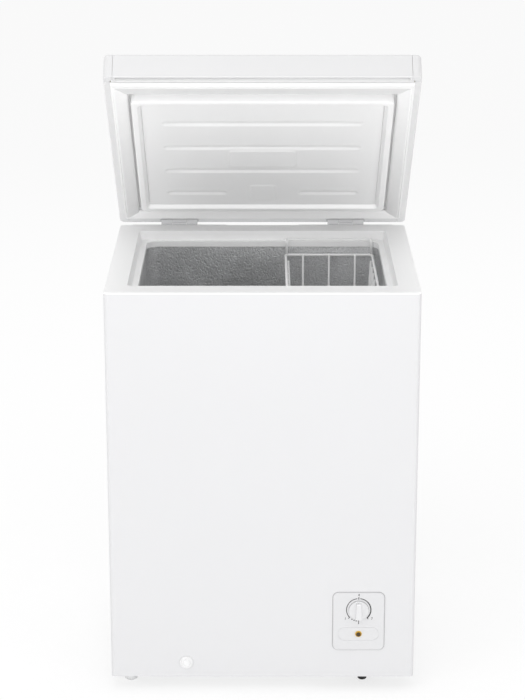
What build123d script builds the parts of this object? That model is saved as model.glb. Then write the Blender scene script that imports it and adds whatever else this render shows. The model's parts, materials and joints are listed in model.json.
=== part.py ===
"""A small chest freezer with its lid standing open.

Millimetres. +X is to the right seen from the front, +Y to the back, +Z up. The origin is on the
floor in the middle of the outline, with the lid open as modelled. Every piece is its own solid.
"""

import os
from math import cos, radians, sin

from build123d import *

os.makedirs("parts", exist_ok=True)

# ---------------------------------------------------------------- cabinet
cabinet_width = 575.0
cabinet_depth = 505.0
cabinet_height = 760.0  # underside of the base to the rim
cabinet_corner = 7.0
foot_height = 25.0
steel = 0.8
return_flange = 14.0  # the wrap turns in this far at the back

# ---------------------------------------------------------------- collar round the opening
collar_edge = 3.0  # the collar's visible edge above the wrap
collar_wall = 2.5
collar_skirt = 8.0
side_rim = 40.5
front_rim = 46.5
rear_rim = 49.0
opening_corner = 8.0
ledge_drop = 19.0
ledge_draft = 5.0  # the side walls lean in this far on their way to the ledge
side_ledge = 16.0
mouth_inset = 10.0  # ledge width at the front and the back
mouth_corner = 25.0
breaker_drop = 30.0
hinge_step = 4.0  # the collar stands out behind, at the hinges
hinge_step_width = 190.0
collar_round = 1.0

# ---------------------------------------------------------------- cavity and walls
liner_sheet = 0.6
floor_foam = 60.0
step_foam = 38.0
step_round = 12.0
bay_width = 179.0
bay_height = 240.0

# ---------------------------------------------------------------- lid
lid_side_lap = 2.5  # the shut lid stands out over the cabinet at each side
lid_front_lap = 6.0  # and at the front
lid_skirt = 50.0
lid_corner = 10.0
lid_crown = 5.0
crown_slope = 55.0
lid_gap = 13.0  # skirt to rim with the lid shut
lid_open = 43.0  # degrees, as modelled
lid_overhang = 19.0  # lid behind the hinge pins
trim_wall = 3.0
trim_round = 5.0
trim_bevel = 0.9
trim_flange = 12.0
rear_flange = 32.0
top_lip = 10.0
front_cap = 17.0
rear_cap = 34.0
cap_seam = 0.5
finger_depth = 8.0
panel_sheet = 1.2
panel_gap = 0.3

plug_side_gap = 6.5
plug_gap = 3.0  # plug to the opening's front and rear walls
plug_depth = 20.6  # below the skirt's lower edge
plug_corner = 10.0
plug_border = 11.0
pocket_depth = 8.0
pocket_slope = 6.0
lid_sheet = 2.0
groove_margin = 50.5  # groove ends to the plug's sides
groove_width = 16.0
groove_depth = 3.5
groove_first = 0.212  # of the plug's length behind its front wall
groove_pitch = 0.213  # of the plug's length
split_groove_length = 122.0
split_groove_x = 129.0
wide_pad = (132.0, 60.0)
wide_pad_place = 0.527  # of the plug's length
wide_pad_rise = 2.0
small_pad = (51.0, 62.0)
small_pad_place = 0.851  # of the plug's length
small_pad_sink = 1.5
gasket_width = 29.0
gasket_skin = 2.2
gasket_shut_gap = 0.3
bellows_depth = 3.0
magnet_height = 4.0

# ---------------------------------------------------------------- hinges
hinge_setback = 11.0  # pins behind the cabinet's back
hinge_rise = 6.0  # pins above the rim
hinge_edge = 119.0  # hinge's middle to the cabinet's side
hinge_width = 73.0
knuckle_width = 28.0
pin_radius = 2.5
pin_fit = 0.05
knuckle_radius = 4.6
leaf_knuckle_radius = 5.0
hinge_plate = 2.0
bracket_height = 66.0

# ---------------------------------------------------------------- controls
bezel_width = 97.0
bezel_height = 117.5
bezel_corner = 10.6
bezel_proud = 3.0
bezel_edge = 106.0  # bezel's middle to the cabinet's right side
bezel_rise = 115.0  # above the base, as the next two
knob_rise = 139.4
lamp_rise = 90.0
bezel_bevel = 1.4
bezel_lip = 3.0
bezel_collar = 14.0
shaft_boss = 5.0
knob_radius = 18.3
knob_height = 13.0
knob_gap = 0.3
knob_skirt = 4.0
shaft_radius = 3.0
shaft_fit = 0.08
lamp_radius = 6.2
lamp_lip = 1.2
field_width = 78.0  # the outline pressed round the lamp
field_height = 27.0
thermostat_reach = 12.0

# ---------------------------------------------------------------- drain
drain_edge = 142.7  # drain to the cabinet's left side
drain_rise = 30.0  # above the base
drain_reach = 85.0
drain_outer = 9.0
drain_bore = 7.0
drain_bend = 12.0
drain_cap_radius = 12.5

# ---------------------------------------------------------------- basket
basket_gap = 11.0  # rail to the cavity's right wall
basket_width = 174.0
rail_wire = 2.25
thin_wire = 1.85
rail_drop = 29.0  # hanger to top rail
basket_height = 190.0
basket_taper = 10.0
cross_count = 7

# ---------------------------------------------------------------- derived places
half_width = cabinet_width / 2
opening_width = cabinet_width - 2 * side_rim
mouth_width = opening_width - 2 * side_ledge
plug_width = opening_width - 2 * plug_side_gap
lid_width = cabinet_width + 2 * lid_side_lap
lid_depth = cabinet_depth + lid_front_lap + hinge_setback + lid_overhang
hinge_x = half_width - hinge_edge
hinge_inner_x = hinge_x - hinge_width / 2
hinge_outer_x = hinge_x + hinge_width / 2
leaf_inner_x = hinge_x - knuckle_width / 2
leaf_outer_x = hinge_x + knuckle_width / 2
bezel_x = half_width - bezel_edge
drain_x = drain_edge - half_width
basket_right = mouth_width / 2 - basket_gap
basket_left = basket_right - basket_width
rim = foot_height + cabinet_height
base = foot_height
lid_angle = radians(lid_open)
lid_top = lid_gap - hinge_rise + lid_skirt
reach_back = (
    hinge_setback
    + (lid_overhang - trim_round) * cos(lid_angle)
    + (lid_top - trim_round) * sin(lid_angle)
    + trim_round
)
reach_front = bezel_proud + knob_gap + knob_height
front = -(cabinet_depth + reach_back - reach_front) / 2
back = front + cabinet_depth
mid = (front + back) / 2
inside_half = half_width - steel
inside_front = front + steel
inside_back = back - 2 * steel
opening_front = front + front_rim
opening_back = back - rear_rim
mouth_front = opening_front + mouth_inset
mouth_back = opening_back - mouth_inset
ledge_z = rim - ledge_drop
liner_top = ledge_z - collar_wall
floor_z = base + steel + floor_foam + liner_sheet
bay_left = inside_half - bay_width
bay_top = base + bay_height
bay_mid = (bay_left + inside_half) / 2
step_x = bay_left - steel - step_foam - liner_sheet
step_z = bay_top + steel + step_foam + liner_sheet
drain_z = base + drain_rise
bezel_z = base + bezel_rise
knob_z = base + knob_rise
lamp_z = base + lamp_rise
pin_y = back + hinge_setback
pin_z = rim + hinge_rise

front_plane = Plane.XZ.offset(-front)
back_plane = Plane.XZ.offset(-back)
lid_plane = Plane(origin=(0, pin_y, pin_z), x_dir=(1, 0, 0), z_dir=(0, sin(lid_angle), cos(lid_angle)))
lid_front = lid_overhang - lid_depth  # along the lid plane's own Y
lid_rear = lid_overhang
skirt_z = lid_gap - hinge_rise  # the lid plane's own Z
skirt_top = skirt_z + lid_skirt


def level(z):
    """A horizontal plane at height z."""
    return Plane.XY.offset(z)


def lid_level(z):
    """A plane parallel to the lid, at height z over the hinge pins."""
    return lid_plane.offset(z)


def rounded(width, y_front, y_back, corner):
    """A rounded rectangle centred on X, between two Y values, in the sketch being drawn."""
    with Locations((0, (y_front + y_back) / 2)):
        RectangleRounded(width, y_back - y_front, corner)


def cabinet_plan(inset=0.0):
    rounded(cabinet_width - 2 * inset, front + inset, back - inset, cabinet_corner - inset)


def inside_plan(inset=0.0):
    rounded(2 * (inside_half - inset), inside_front + inset, inside_back - inset, cabinet_corner - steel)


def opening_plan(grow=0.0, lean=0.0):
    width = opening_width + 2 * (grow - lean)
    rounded(width, opening_front - grow, opening_back + grow, opening_corner + grow)


def mouth_plan(grow=0.0):
    rounded(mouth_width + 2 * grow, mouth_front - grow, mouth_back + grow, mouth_corner + grow)


def bezel_plan(inset=0.0, mode=Mode.ADD):
    RectangleRounded(bezel_width - 2 * inset, bezel_height - 2 * inset, bezel_corner - inset, mode=mode)


def lid_plan(side, ahead=None, behind=None, corner=None):
    """The lid's outline drawn in by a distance at the sides, the front and the rear."""
    ahead = side if ahead is None else ahead
    behind = side if behind is None else behind
    corner = max(lid_corner - side, 2.0) if corner is None else corner
    rounded(lid_width - 2 * side, lid_front + ahead, lid_rear - behind, corner)


def block(x_range, y_range, z_range, plane=Plane.XY, mode=Mode.ADD):
    """A box between three pairs of limits, in a plane's own directions."""
    with BuildSketch(plane.offset(z_range[0])) as foot:
        with Locations(((x_range[0] + x_range[1]) / 2, (y_range[0] + y_range[1]) / 2)):
            Rectangle(x_range[1] - x_range[0], y_range[1] - y_range[0])
    extrude(to_extrude=foot.sketch, amount=z_range[1] - z_range[0], mode=mode)


def eased(corners, cut):
    """The points of a bent route, with each inner corner cut off at a distance from it."""
    points = [Vector(*corner) for corner in corners]
    route = [points[0]]
    for before, corner, after in zip(points, points[1:], points[2:]):
        route += [corner + (before - corner).normalized() * cut, corner + (after - corner).normalized() * cut]
    return route + [points[-1]]


def tube(points, radius, mode=Mode.ADD):
    """A round bar along straight runs, mitred where they meet."""
    with BuildLine() as route:
        Polyline(*points)
    with BuildSketch(Plane(route.line @ 0, z_dir=route.line % 0)) as section:
        Circle(radius)
    sweep(sections=section.sketch, path=route.line, transition=Transition.RIGHT, mode=mode)


def write(piece, name):
    """Label a finished piece and save it."""
    piece.part.label = name
    export_step(piece.part, f"parts/{name}.step")


# ================================================================ cabinet shell
with BuildPart() as outer_wrap:
    with BuildSketch(level(base)):
        cabinet_plan()
    extrude(amount=cabinet_height - collar_edge)
    with BuildSketch(level(base)):
        cabinet_plan(steel)
    extrude(amount=cabinet_height - collar_edge, mode=Mode.SUBTRACT)
    open_half = half_width - return_flange
    block((-open_half, open_half), (inside_back, back + steel), (base, rim), mode=Mode.SUBTRACT)
    with BuildSketch(front_plane):
        with Locations((bezel_x, bezel_z)):
            bezel_plan(bezel_lip)
        with Locations((drain_x, drain_z)):
            Circle(drain_outer)
    extrude(amount=-2 * steel, mode=Mode.SUBTRACT)
write(outer_wrap, "outer_wrap")

vent_margin = 10.0
vent_rise = 12.0
vent_left = bay_left + vent_margin
vent_right = open_half - vent_margin
vent_bottom = base + vent_rise
vent_top = bay_top - vent_margin
hinge_screw_inset = 10.0
hinge_screw_pitch = 18.0
hinge_screw_spots = [
    (side * x, rim - drop)
    for side in (-1, 1)
    for x in (hinge_inner_x + hinge_screw_inset, hinge_outer_x - hinge_screw_inset)
    for drop in (bracket_height - hinge_screw_inset, bracket_height - hinge_screw_inset - hinge_screw_pitch)
]
hinge_screw_radius = 2.0
screw_head_radius = 3.6
screw_head = 1.8
screw_fit = 0.1

with BuildPart() as back_panel:
    panel_half = half_width - cabinet_corner
    block((-panel_half, panel_half), (inside_back, back - steel), (base, rim - collar_edge))
    block((vent_left, vent_right), (inside_back - 1, back), (vent_bottom, vent_top), mode=Mode.SUBTRACT)
    with BuildSketch(back_plane):
        with Locations(*hinge_screw_spots):
            Circle(hinge_screw_radius + screw_fit)
    extrude(amount=3 * steel, mode=Mode.SUBTRACT)
write(back_panel, "back_panel")

socket_radius = 11.0
stud_radius = 5.0
stud_fit = 0.1
left_foot_edge = 34.5  # feet to the cabinet's sides
right_foot_edge = 95.5
left_foot_x = left_foot_edge - half_width
right_foot_x = half_width - right_foot_edge
foot_inset = 45.0
foot_rows = (front + foot_inset, back - foot_inset)
left_foot_spots = [(left_foot_x, y) for y in foot_rows]
right_foot_spots = [(right_foot_x, y) for y in foot_rows]

with BuildPart() as base_pan:
    with BuildSketch(Plane.XZ.offset(-inside_back)):
        with BuildLine():
            Polyline(
                (-inside_half, base),
                (bay_left, base),
                (bay_left, bay_top),
                (inside_half, bay_top),
                (inside_half, bay_top + steel),
                (bay_left - steel, bay_top + steel),
                (bay_left - steel, base + steel),
                (-inside_half, base + steel),
                close=True,
            )
        make_face()
    extrude(amount=inside_back - inside_front)
    with BuildSketch(level(base), mode=Mode.PRIVATE) as inside_outline:
        inside_plan()
    extrude(to_extrude=inside_outline.sketch, amount=cabinet_height, mode=Mode.INTERSECT)
    with BuildSketch(level(base)):
        with Locations(*left_foot_spots):
            Circle(stud_radius + stud_fit)
    extrude(amount=steel, mode=Mode.SUBTRACT)
write(base_pan, "base_pan")

# ================================================================ collar, liner and foam
with BuildPart() as top_frame:
    with BuildSketch(level(rim - collar_edge)):
        cabinet_plan()
        with Locations((-hinge_x, back), (hinge_x, back)):
            Rectangle(hinge_step_width, 2 * hinge_step)
    extrude(amount=collar_edge)
    fillet(top_frame.edges().group_by(Axis.Z)[-1], collar_round)
    with BuildSketch(level(rim - collar_edge - collar_skirt)):
        inside_plan(panel_gap)
    extrude(amount=collar_skirt)
    with BuildSketch(level(rim - collar_edge - collar_skirt)):
        inside_plan(panel_gap + collar_wall)
    extrude(amount=collar_skirt, mode=Mode.SUBTRACT)
    with BuildSketch(level(rim - collar_edge)):
        opening_plan(collar_wall)
    with BuildSketch(level(liner_top)):
        opening_plan(collar_wall, ledge_draft)
    loft()
    with BuildSketch(level(rim - breaker_drop)):
        mouth_plan(collar_wall)
    extrude(amount=breaker_drop - ledge_drop)
    with BuildSketch(level(rim)):
        opening_plan()
    with BuildSketch(level(ledge_z)):
        opening_plan(0, ledge_draft)
    loft(mode=Mode.SUBTRACT)
    with BuildSketch(level(rim - breaker_drop)):
        mouth_plan()
    extrude(amount=breaker_drop, mode=Mode.SUBTRACT)
write(top_frame, "top_frame")


def cavity(grow):
    """The space the liner lines, with its step over the compressor, grown by a sheet thickness."""
    with BuildPart(mode=Mode.PRIVATE) as space:
        with BuildSketch(level(floor_z - grow)):
            mouth_plan(collar_wall + grow)
        extrude(amount=liner_top - floor_z + grow)
        with BuildSketch(Plane.XZ.offset(-back)):
            with BuildLine():
                FilletPolyline(
                    (step_x + grow, base),
                    (step_x + grow, step_z - grow),
                    (cabinet_width, step_z - grow),
                    radius=step_round - grow,
                )
                Polyline((cabinet_width, step_z - grow), (cabinet_width, base), (step_x + grow, base))
            make_face()
        extrude(amount=cabinet_depth, mode=Mode.SUBTRACT)
    return space.part


drain_y = front + drain_reach


with BuildPart() as inner_liner:
    add(cavity(liner_sheet))
    add(cavity(0), mode=Mode.SUBTRACT)
    with BuildSketch(level(floor_z - liner_sheet)):
        with Locations((drain_x, drain_y)):
            Circle(drain_bore)
    extrude(amount=liner_sheet, mode=Mode.SUBTRACT)
write(inner_liner, "inner_liner")

# Flat evaporator tube laid round the liner, one loop above another, joined behind
coil_height = 8.0
coil_thickness = 3.0
coil_first = 60.0  # above the step
coil_pitch = 70.0
coil_loops = 5
coil_levels = [step_z + coil_first + coil_pitch * i for i in range(coil_loops)]
coil_gap_half = 40.0
coil_out = collar_wall + liner_sheet


def coil_ring(z, height, thickness):
    """One loop of flat tube round the liner, as a ring."""
    with BuildSketch(level(z)) as outline:
        mouth_plan(coil_out + thickness)
        with BuildSketch(mode=Mode.PRIVATE) as core:
            mouth_plan(coil_out)
        add(core.sketch, mode=Mode.SUBTRACT)
    extrude(to_extrude=outline.sketch, amount=height)


coil_y = mouth_back + coil_out
coil_reach = 1.0  # cuts run past the tube
with BuildPart() as evaporator_coil:
    for z in coil_levels:
        coil_ring(z, coil_height, coil_thickness)
    block(
        (-coil_gap_half, coil_gap_half),
        (coil_y - coil_reach, coil_y + coil_thickness + coil_reach),
        (coil_levels[0], coil_levels[-1] + coil_height),
        mode=Mode.SUBTRACT,
    )
    for i, z in enumerate(coil_levels[:-1]):
        side = 1 if i % 2 else -1
        block(
            (side * coil_gap_half - coil_height / 2, side * coil_gap_half + coil_height / 2),
            (coil_y, coil_y + coil_thickness),
            (z, coil_levels[i + 1] + coil_height),
        )
write(evaporator_coil, "evaporator_coil")

# Condenser tube against the wrap's side walls
condenser_radius = 2.5
condenser_pitch = 70.0
condenser_runs = 4
condenser_margin = 45.0
condenser_bend = 15.0
condenser_rows = [step_z + condenser_pitch * (i + 1) for i in range(condenser_runs)]
condenser_ends = (front + condenser_margin, back - condenser_margin)


def condenser_route(side):
    """A serpentine against one side wall, from its lowest row up."""
    x = side * (inside_half - condenser_radius)
    points = []
    for i, z in enumerate(condenser_rows):
        ends = condenser_ends if i % 2 == 0 else condenser_ends[::-1]
        points += [(x, ends[0], z), (x, ends[1], z)]
    return eased(points, condenser_bend)


with BuildPart() as condenser_coil:
    for side in (-1, 1):
        tube(condenser_route(side), condenser_radius)
write(condenser_coil, "condenser_coil")

drain_route = eased(
    [(drain_x, front, drain_z), (drain_x, drain_y, drain_z), (drain_x, drain_y, floor_z - liner_sheet)],
    drain_bend,
)

foam_top = rim - collar_edge - collar_skirt
channel_fit = 0.3
socket_height = 30.0

with BuildPart() as foam:
    with BuildSketch(level(base + steel)):
        inside_plan()
    extrude(amount=foam_top - base - steel)
    block(
        (bay_left - steel, cabinet_width),
        (front, back),
        (base, bay_top + steel),
        mode=Mode.SUBTRACT,
    )
    add(cavity(liner_sheet), mode=Mode.SUBTRACT)
    with BuildSketch(level(foam_top)):
        opening_plan(collar_wall)
    with BuildSketch(level(liner_top)):
        opening_plan(collar_wall, ledge_draft)
    loft(mode=Mode.SUBTRACT)
    for z in coil_levels:
        with BuildSketch(level(z - channel_fit)):
            mouth_plan(coil_out + coil_thickness + channel_fit)
        extrude(amount=coil_height + 2 * channel_fit, mode=Mode.SUBTRACT)
    for side in (-1, 1):
        block(
            (side * coil_gap_half - coil_height / 2 - channel_fit,
             side * coil_gap_half + coil_height / 2 + channel_fit),
            (coil_y - coil_reach, coil_y + coil_thickness + channel_fit),
            (coil_levels[0], coil_levels[-1]),
            mode=Mode.SUBTRACT,
        )
        recess = 2 * condenser_radius + channel_fit
        block(
            tuple(sorted((side * inside_half, side * (inside_half - recess)))),
            (condenser_ends[0] - recess, condenser_ends[1] + recess),
            (condenser_rows[0] - recess, condenser_rows[-1] + recess),
            mode=Mode.SUBTRACT,
        )
    with BuildSketch(level(base + steel)):
        with Locations(*left_foot_spots):
            Circle(socket_radius)
    extrude(amount=socket_height, mode=Mode.SUBTRACT)
    tube(drain_route, drain_outer, mode=Mode.SUBTRACT)

foam_seam = step_z - liner_sheet
for name, foam_span in (("floor_foam", (base, foam_seam)), ("cabinet_foam", (foam_seam, foam_top))):
    with BuildPart() as foam_piece:
        add(foam.part)
        block((-half_width, half_width), (front, back), foam_span, mode=Mode.INTERSECT)
    write(foam_piece, name)

# ================================================================ drain
with BuildPart() as drain_pipe:
    tube(drain_route, drain_outer)
    tube(drain_route, drain_bore, mode=Mode.SUBTRACT)
write(drain_pipe, "drain_pipe")

plug_fit = 0.3
cap_plug_length = 12.0
cap_flange = 2.2
cap_bevel = 1.2
cap_dish = 3.2
cap_grip = 2.4
plug_tip = 2.0
with BuildPart() as drain_cap:
    with BuildSketch(Plane.YZ.offset(drain_x)):
        with BuildLine():
            Polyline(
                (front + cap_plug_length, drain_z),
                (front + cap_plug_length, drain_z + drain_bore - plug_fit - plug_tip / 2),
                (front + cap_plug_length - plug_tip, drain_z + drain_bore - plug_fit),
                (front - plug_fit, drain_z + drain_bore - plug_fit),
                (front - plug_fit, drain_z + drain_cap_radius),
                (front - cap_flange, drain_z + drain_cap_radius),
                (front - cap_flange - cap_bevel, drain_z + drain_cap_radius - cap_bevel),
                (front - cap_flange - cap_bevel, drain_z + drain_cap_radius - 2 * cap_bevel),
                (front - cap_flange, drain_z + drain_cap_radius - cap_dish),
                (front - cap_flange, drain_z + drain_bore + plug_fit),
                (front - cap_flange - cap_grip, drain_z + drain_bore - plug_tip / 2),
                (front - cap_flange - cap_grip, drain_z),
                close=True,
            )
        make_face()
    revolve(axis=Axis((drain_x, front, drain_z), (0, 1, 0)))
write(drain_cap, "drain_cap")

stopper_radius = 14.0
stopper_height = 3.0
stopper_neck = 9.0
stopper_bevel = 1.2
stopper_knob = (4.0, 5.0)  # radius and height
with BuildPart() as drain_stopper:
    with BuildSketch(level(floor_z + plug_fit)):
        with Locations((drain_x, drain_y)):
            Circle(stopper_radius)
    extrude(amount=stopper_height)
    chamfer(drain_stopper.edges().group_by(Axis.Z)[-1], stopper_bevel)
    with BuildSketch(level(floor_z + plug_fit + stopper_height)):
        with Locations((drain_x, drain_y)):
            Circle(stopper_knob[0])
    extrude(amount=stopper_knob[1])
    with BuildSketch(level(floor_z + plug_fit)):
        with Locations((drain_x, drain_y)):
            Circle(drain_bore - plug_fit)
    extrude(amount=-stopper_neck)
write(drain_stopper, "drain_stopper")

# ================================================================ feet
pad_radius = 12.5
pad_height = 15.0
pad_bevel = 3.0
pad_neck = 3.0
rib_count = 20
rib_cut = (1.2, 1.6)
stud_reach = 24.0


def levelling_foot(spot):
    """A ribbed levelling foot with its stud, under the base."""
    with BuildPart() as foot:
        with BuildSketch(level(0)):
            with Locations(spot):
                Circle(pad_radius - pad_bevel)
        with BuildSketch(level(pad_bevel)):
            with Locations(spot):
                Circle(pad_radius)
        loft()
        with BuildSketch(level(pad_bevel)):
            with Locations(spot):
                Circle(pad_radius)
                with PolarLocations(pad_radius, rib_count):
                    Rectangle(*rib_cut, mode=Mode.SUBTRACT)
        extrude(amount=pad_height - pad_bevel)
        with BuildSketch(level(pad_height)):
            with Locations(spot):
                Circle(pad_radius - pad_neck)
        extrude(amount=foot_height - pad_height - plug_fit)
        with BuildSketch(level(foot_height - plug_fit)):
            with Locations(spot):
                Circle(stud_radius)
        extrude(amount=stud_reach)
    return foot


foot_front_left = levelling_foot(left_foot_spots[0])
write(foot_front_left, "foot_front_left")
foot_rear_left = levelling_foot(left_foot_spots[1])
write(foot_rear_left, "foot_rear_left")

with BuildPart() as foot_sockets:
    with BuildSketch(level(base + steel)):
        with Locations(*left_foot_spots):
            Circle(socket_radius)
            Circle(stud_radius + stud_fit, mode=Mode.SUBTRACT)
    extrude(amount=socket_height)
write(foot_sockets, "foot_sockets")

fixed_foot_radius = 8.5
foot_plate = 34.0
foot_plate_thickness = 1.5
foot_plate_corner = 5.0
foot_bevel = 1.5


def fixed_foot(spot):
    """A plain rubber foot on a square plate, under the compressor tray."""
    with BuildPart() as foot:
        with BuildSketch(level(base - foot_plate_thickness)):
            with Locations(spot):
                RectangleRounded(foot_plate, foot_plate, foot_plate_corner)
        extrude(amount=foot_plate_thickness)
        with BuildSketch(level(base - foot_plate_thickness)):
            with Locations(spot):
                Circle(fixed_foot_radius)
        extrude(amount=foot_plate_thickness - base)
        chamfer(foot.edges().group_by(Axis.Z)[0], foot_bevel)
    return foot


foot_front_right = fixed_foot(right_foot_spots[0])
write(foot_front_right, "foot_front_right")
foot_rear_right = fixed_foot(right_foot_spots[1])
write(foot_rear_right, "foot_rear_right")

# ================================================================ compressor bay
tray_sheet = 1.5
tray_flange = 12.0
tray_gap = 0.5
tray_setback = 18.0
tray_inset = 4.0
tray_left = bay_left + tray_gap
tray_right = inside_half - tray_gap
tray_front = front + tray_setback
tray_back = inside_back - tray_inset
tray_top = base + tray_sheet
compressor_setback = 150.0  # compressor's middle to the cabinet's back
compressor_shift = 6.0  # and to the right of the bay's middle, clear of the pipes
compressor_y = back - compressor_setback
compressor_x = bay_mid + compressor_shift
shell_width = 136.0
shell_depth = 172.0
shell_corner = 58.0
shell_wall = 3.0
shell_bevel = 18.0
shell_dome = 34.0
seam_lap = 3.0
seam_height = 5.0
pump_gap = 10.0  # under the pump, over the shell's floor
grommet_height = 16.0
grommet_radius = 10.0
grommet_collar = 0.4  # of its height
grommet_neck = 8.0
bracket_sheet = 3.0
bracket_margin = 13.0
bracket_corner = 12.0
bracket_top = tray_top + grommet_height + bracket_sheet
lower_height = 62.0
upper_height = 82.0
seam_z = bracket_top + lower_height
mount_x = 54.0
mount_y = 84.0
mount_spots = [
    (compressor_x + side * mount_x, compressor_y + end * mount_y) for side in (-1, 1) for end in (-1, 1)
]
mount_bolt_radius = 3.0
bolt_head_radius = 5.5
bolt_head = 4.5

with BuildPart() as compressor_tray:
    block((tray_left, tray_right), (tray_front, tray_back), (base, tray_top))
    for y in (tray_front, tray_back - tray_sheet):
        block((tray_left, tray_right), (y, y + tray_sheet), (base, base + tray_flange))
    with BuildSketch(level(base)):
        with Locations(*mount_spots):
            Circle(mount_bolt_radius + screw_fit)
    extrude(amount=tray_sheet, mode=Mode.SUBTRACT)
write(compressor_tray, "compressor_tray")

with BuildPart() as compressor_grommets:
    with BuildSketch(level(tray_top)):
        with Locations(*mount_spots):
            Circle(grommet_radius)
    extrude(amount=grommet_height * grommet_collar)
    with BuildSketch(level(tray_top)):
        with Locations(*mount_spots):
            Circle(grommet_neck)
    extrude(amount=grommet_height)
    with BuildSketch(level(tray_top)):
        with Locations(*mount_spots):
            Circle(mount_bolt_radius + screw_fit)
    extrude(amount=grommet_height, mode=Mode.SUBTRACT)
write(compressor_grommets, "compressor_grommets")

with BuildPart() as compressor_bracket:
    with BuildSketch(level(tray_top + grommet_height)):
        with Locations((compressor_x, compressor_y)):
            RectangleRounded(2 * (mount_x + bracket_margin), 2 * (mount_y + bracket_margin), bracket_corner)
        with Locations(*mount_spots):
            Circle(mount_bolt_radius + screw_fit, mode=Mode.SUBTRACT)
    extrude(amount=bracket_sheet)
write(compressor_bracket, "compressor_bracket")

with BuildPart() as compressor_bolts:
    with BuildSketch(level(base)):
        with Locations(*mount_spots):
            Circle(mount_bolt_radius)
    extrude(amount=tray_sheet + grommet_height + bracket_sheet)
    with BuildSketch(level(bracket_top)):
        with Locations(*mount_spots):
            RegularPolygon(bolt_head_radius, 6)
    extrude(amount=bolt_head)
write(compressor_bolts, "compressor_bolts")


pump_base = bracket_top + shell_wall + pump_gap


def shell_plan(inset=0.0):
    with Locations((compressor_x, compressor_y)):
        RectangleRounded(shell_width - 2 * inset, shell_depth - 2 * inset, shell_corner - inset)


with BuildPart() as compressor_lower_shell:
    with BuildSketch(level(bracket_top)):
        shell_plan()
    extrude(amount=lower_height)
    chamfer(compressor_lower_shell.edges().group_by(Axis.Z)[0], shell_bevel)
    with BuildSketch(level(seam_z - seam_height)):
        shell_plan(-seam_lap)
    extrude(amount=seam_height)
    with BuildSketch(level(pump_base)):
        shell_plan(shell_wall)
    extrude(amount=lower_height, mode=Mode.SUBTRACT)
write(compressor_lower_shell, "compressor_lower_shell")

with BuildPart() as compressor_upper_shell:
    with BuildSketch(level(seam_z)):
        shell_plan()
    extrude(amount=upper_height)
    fillet(compressor_upper_shell.edges().group_by(Axis.Z)[-1], shell_dome)
    with BuildSketch(level(seam_z)):
        shell_plan(shell_wall)
    extrude(amount=upper_height - shell_dome + shell_wall, mode=Mode.SUBTRACT)
write(compressor_upper_shell, "compressor_upper_shell")

motor_radius = 46.0
motor_height = 70.0
cylinder_block = (60.0, 90.0)
block_corner = 8.0
block_shift = 8.0
block_height = 22.0
with BuildPart() as compressor_motor:
    with BuildSketch(level(pump_base)):
        with Locations((compressor_x, compressor_y)):
            Circle(motor_radius)
    extrude(amount=motor_height)
    with BuildSketch(level(pump_base + motor_height)):
        with Locations((compressor_x, compressor_y + block_shift)):
            RectangleRounded(*cylinder_block, block_corner)
    extrude(amount=block_height)
write(compressor_motor, "compressor_motor")

relay_half = 27.0
relay_depth = 32.0
relay_height = 50.0
relay_corner = 6.0
relay_front = compressor_y - shell_depth / 2 - relay_depth
with BuildPart() as relay_cover:
    block(
        (compressor_x - relay_half, compressor_x + relay_half),
        (relay_front, relay_front + relay_depth),
        (seam_z, seam_z + relay_height),
    )
    fillet(relay_cover.edges().filter_by(Axis.Z).group_by(Axis.Y)[0], relay_corner)
write(relay_cover, "relay_cover")

drier_radius = 9.5
drier_inset = 22.0
drier_ahead = 118.0  # in front of the compressor's middle
drier_neck = 3.0
drier_tube = 2.0
drier_cone = 12.0
drier_body = (40.0, 116.0)  # its ends below the bay's roof
drier_spot = (bay_left + drier_inset, compressor_y - drier_ahead)
drier_low = bay_top - drier_body[1]
drier_high = bay_top - drier_body[0]
with BuildPart() as filter_drier:
    with BuildSketch(Plane.XZ.offset(-drier_spot[1])):
        with BuildLine():
            Polyline(
                (drier_spot[0], drier_low - 2 * drier_cone),
                (drier_spot[0] + drier_tube, drier_low - 2 * drier_cone),
                (drier_spot[0] + drier_tube, drier_low - drier_cone),
                (drier_spot[0] + drier_radius, drier_low),
                (drier_spot[0] + drier_radius, drier_high),
                (drier_spot[0] + drier_neck, drier_high + drier_cone),
                (drier_spot[0] + drier_neck, bay_top),
                (drier_spot[0], bay_top),
                close=True,
            )
        make_face()
    revolve(axis=Axis((drier_spot[0], drier_spot[1], 0), (0, 0, 1)))
write(filter_drier, "filter_drier")

suction_radius = 4.0
discharge_radius = 3.2
shell_left = compressor_x - shell_width / 2
pipe_out = 14.0
pipe_rise = 30.0
pipe_bend = 6.0
pipe_spread = 12.0  # each pipe from the compressor's middle
suction_height = 12.0  # above the seam
discharge_height = 22.0  # below the seam
suction_reach = 32.0
discharge_reach = 30.0


def bay_pipe(y, height, radius, reach):
    """A copper pipe from the compressor's side up into the bay's roof."""
    with BuildPart() as pipe:
        corners = [
            (shell_left, y, height),
            (shell_left - pipe_out, y, height),
            (shell_left - pipe_out, y + reach, height + pipe_rise),
            (shell_left - pipe_out, y + reach, bay_top),
        ]
        tube(eased(corners, pipe_bend), radius)
    return pipe


suction_pipe = bay_pipe(compressor_y - pipe_spread, seam_z + suction_height, suction_radius, -suction_reach)
write(suction_pipe, "suction_pipe")
discharge_pipe = bay_pipe(
    compressor_y + pipe_spread, seam_z - discharge_height, discharge_radius, discharge_reach
)
write(discharge_pipe, "discharge_pipe")

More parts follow.
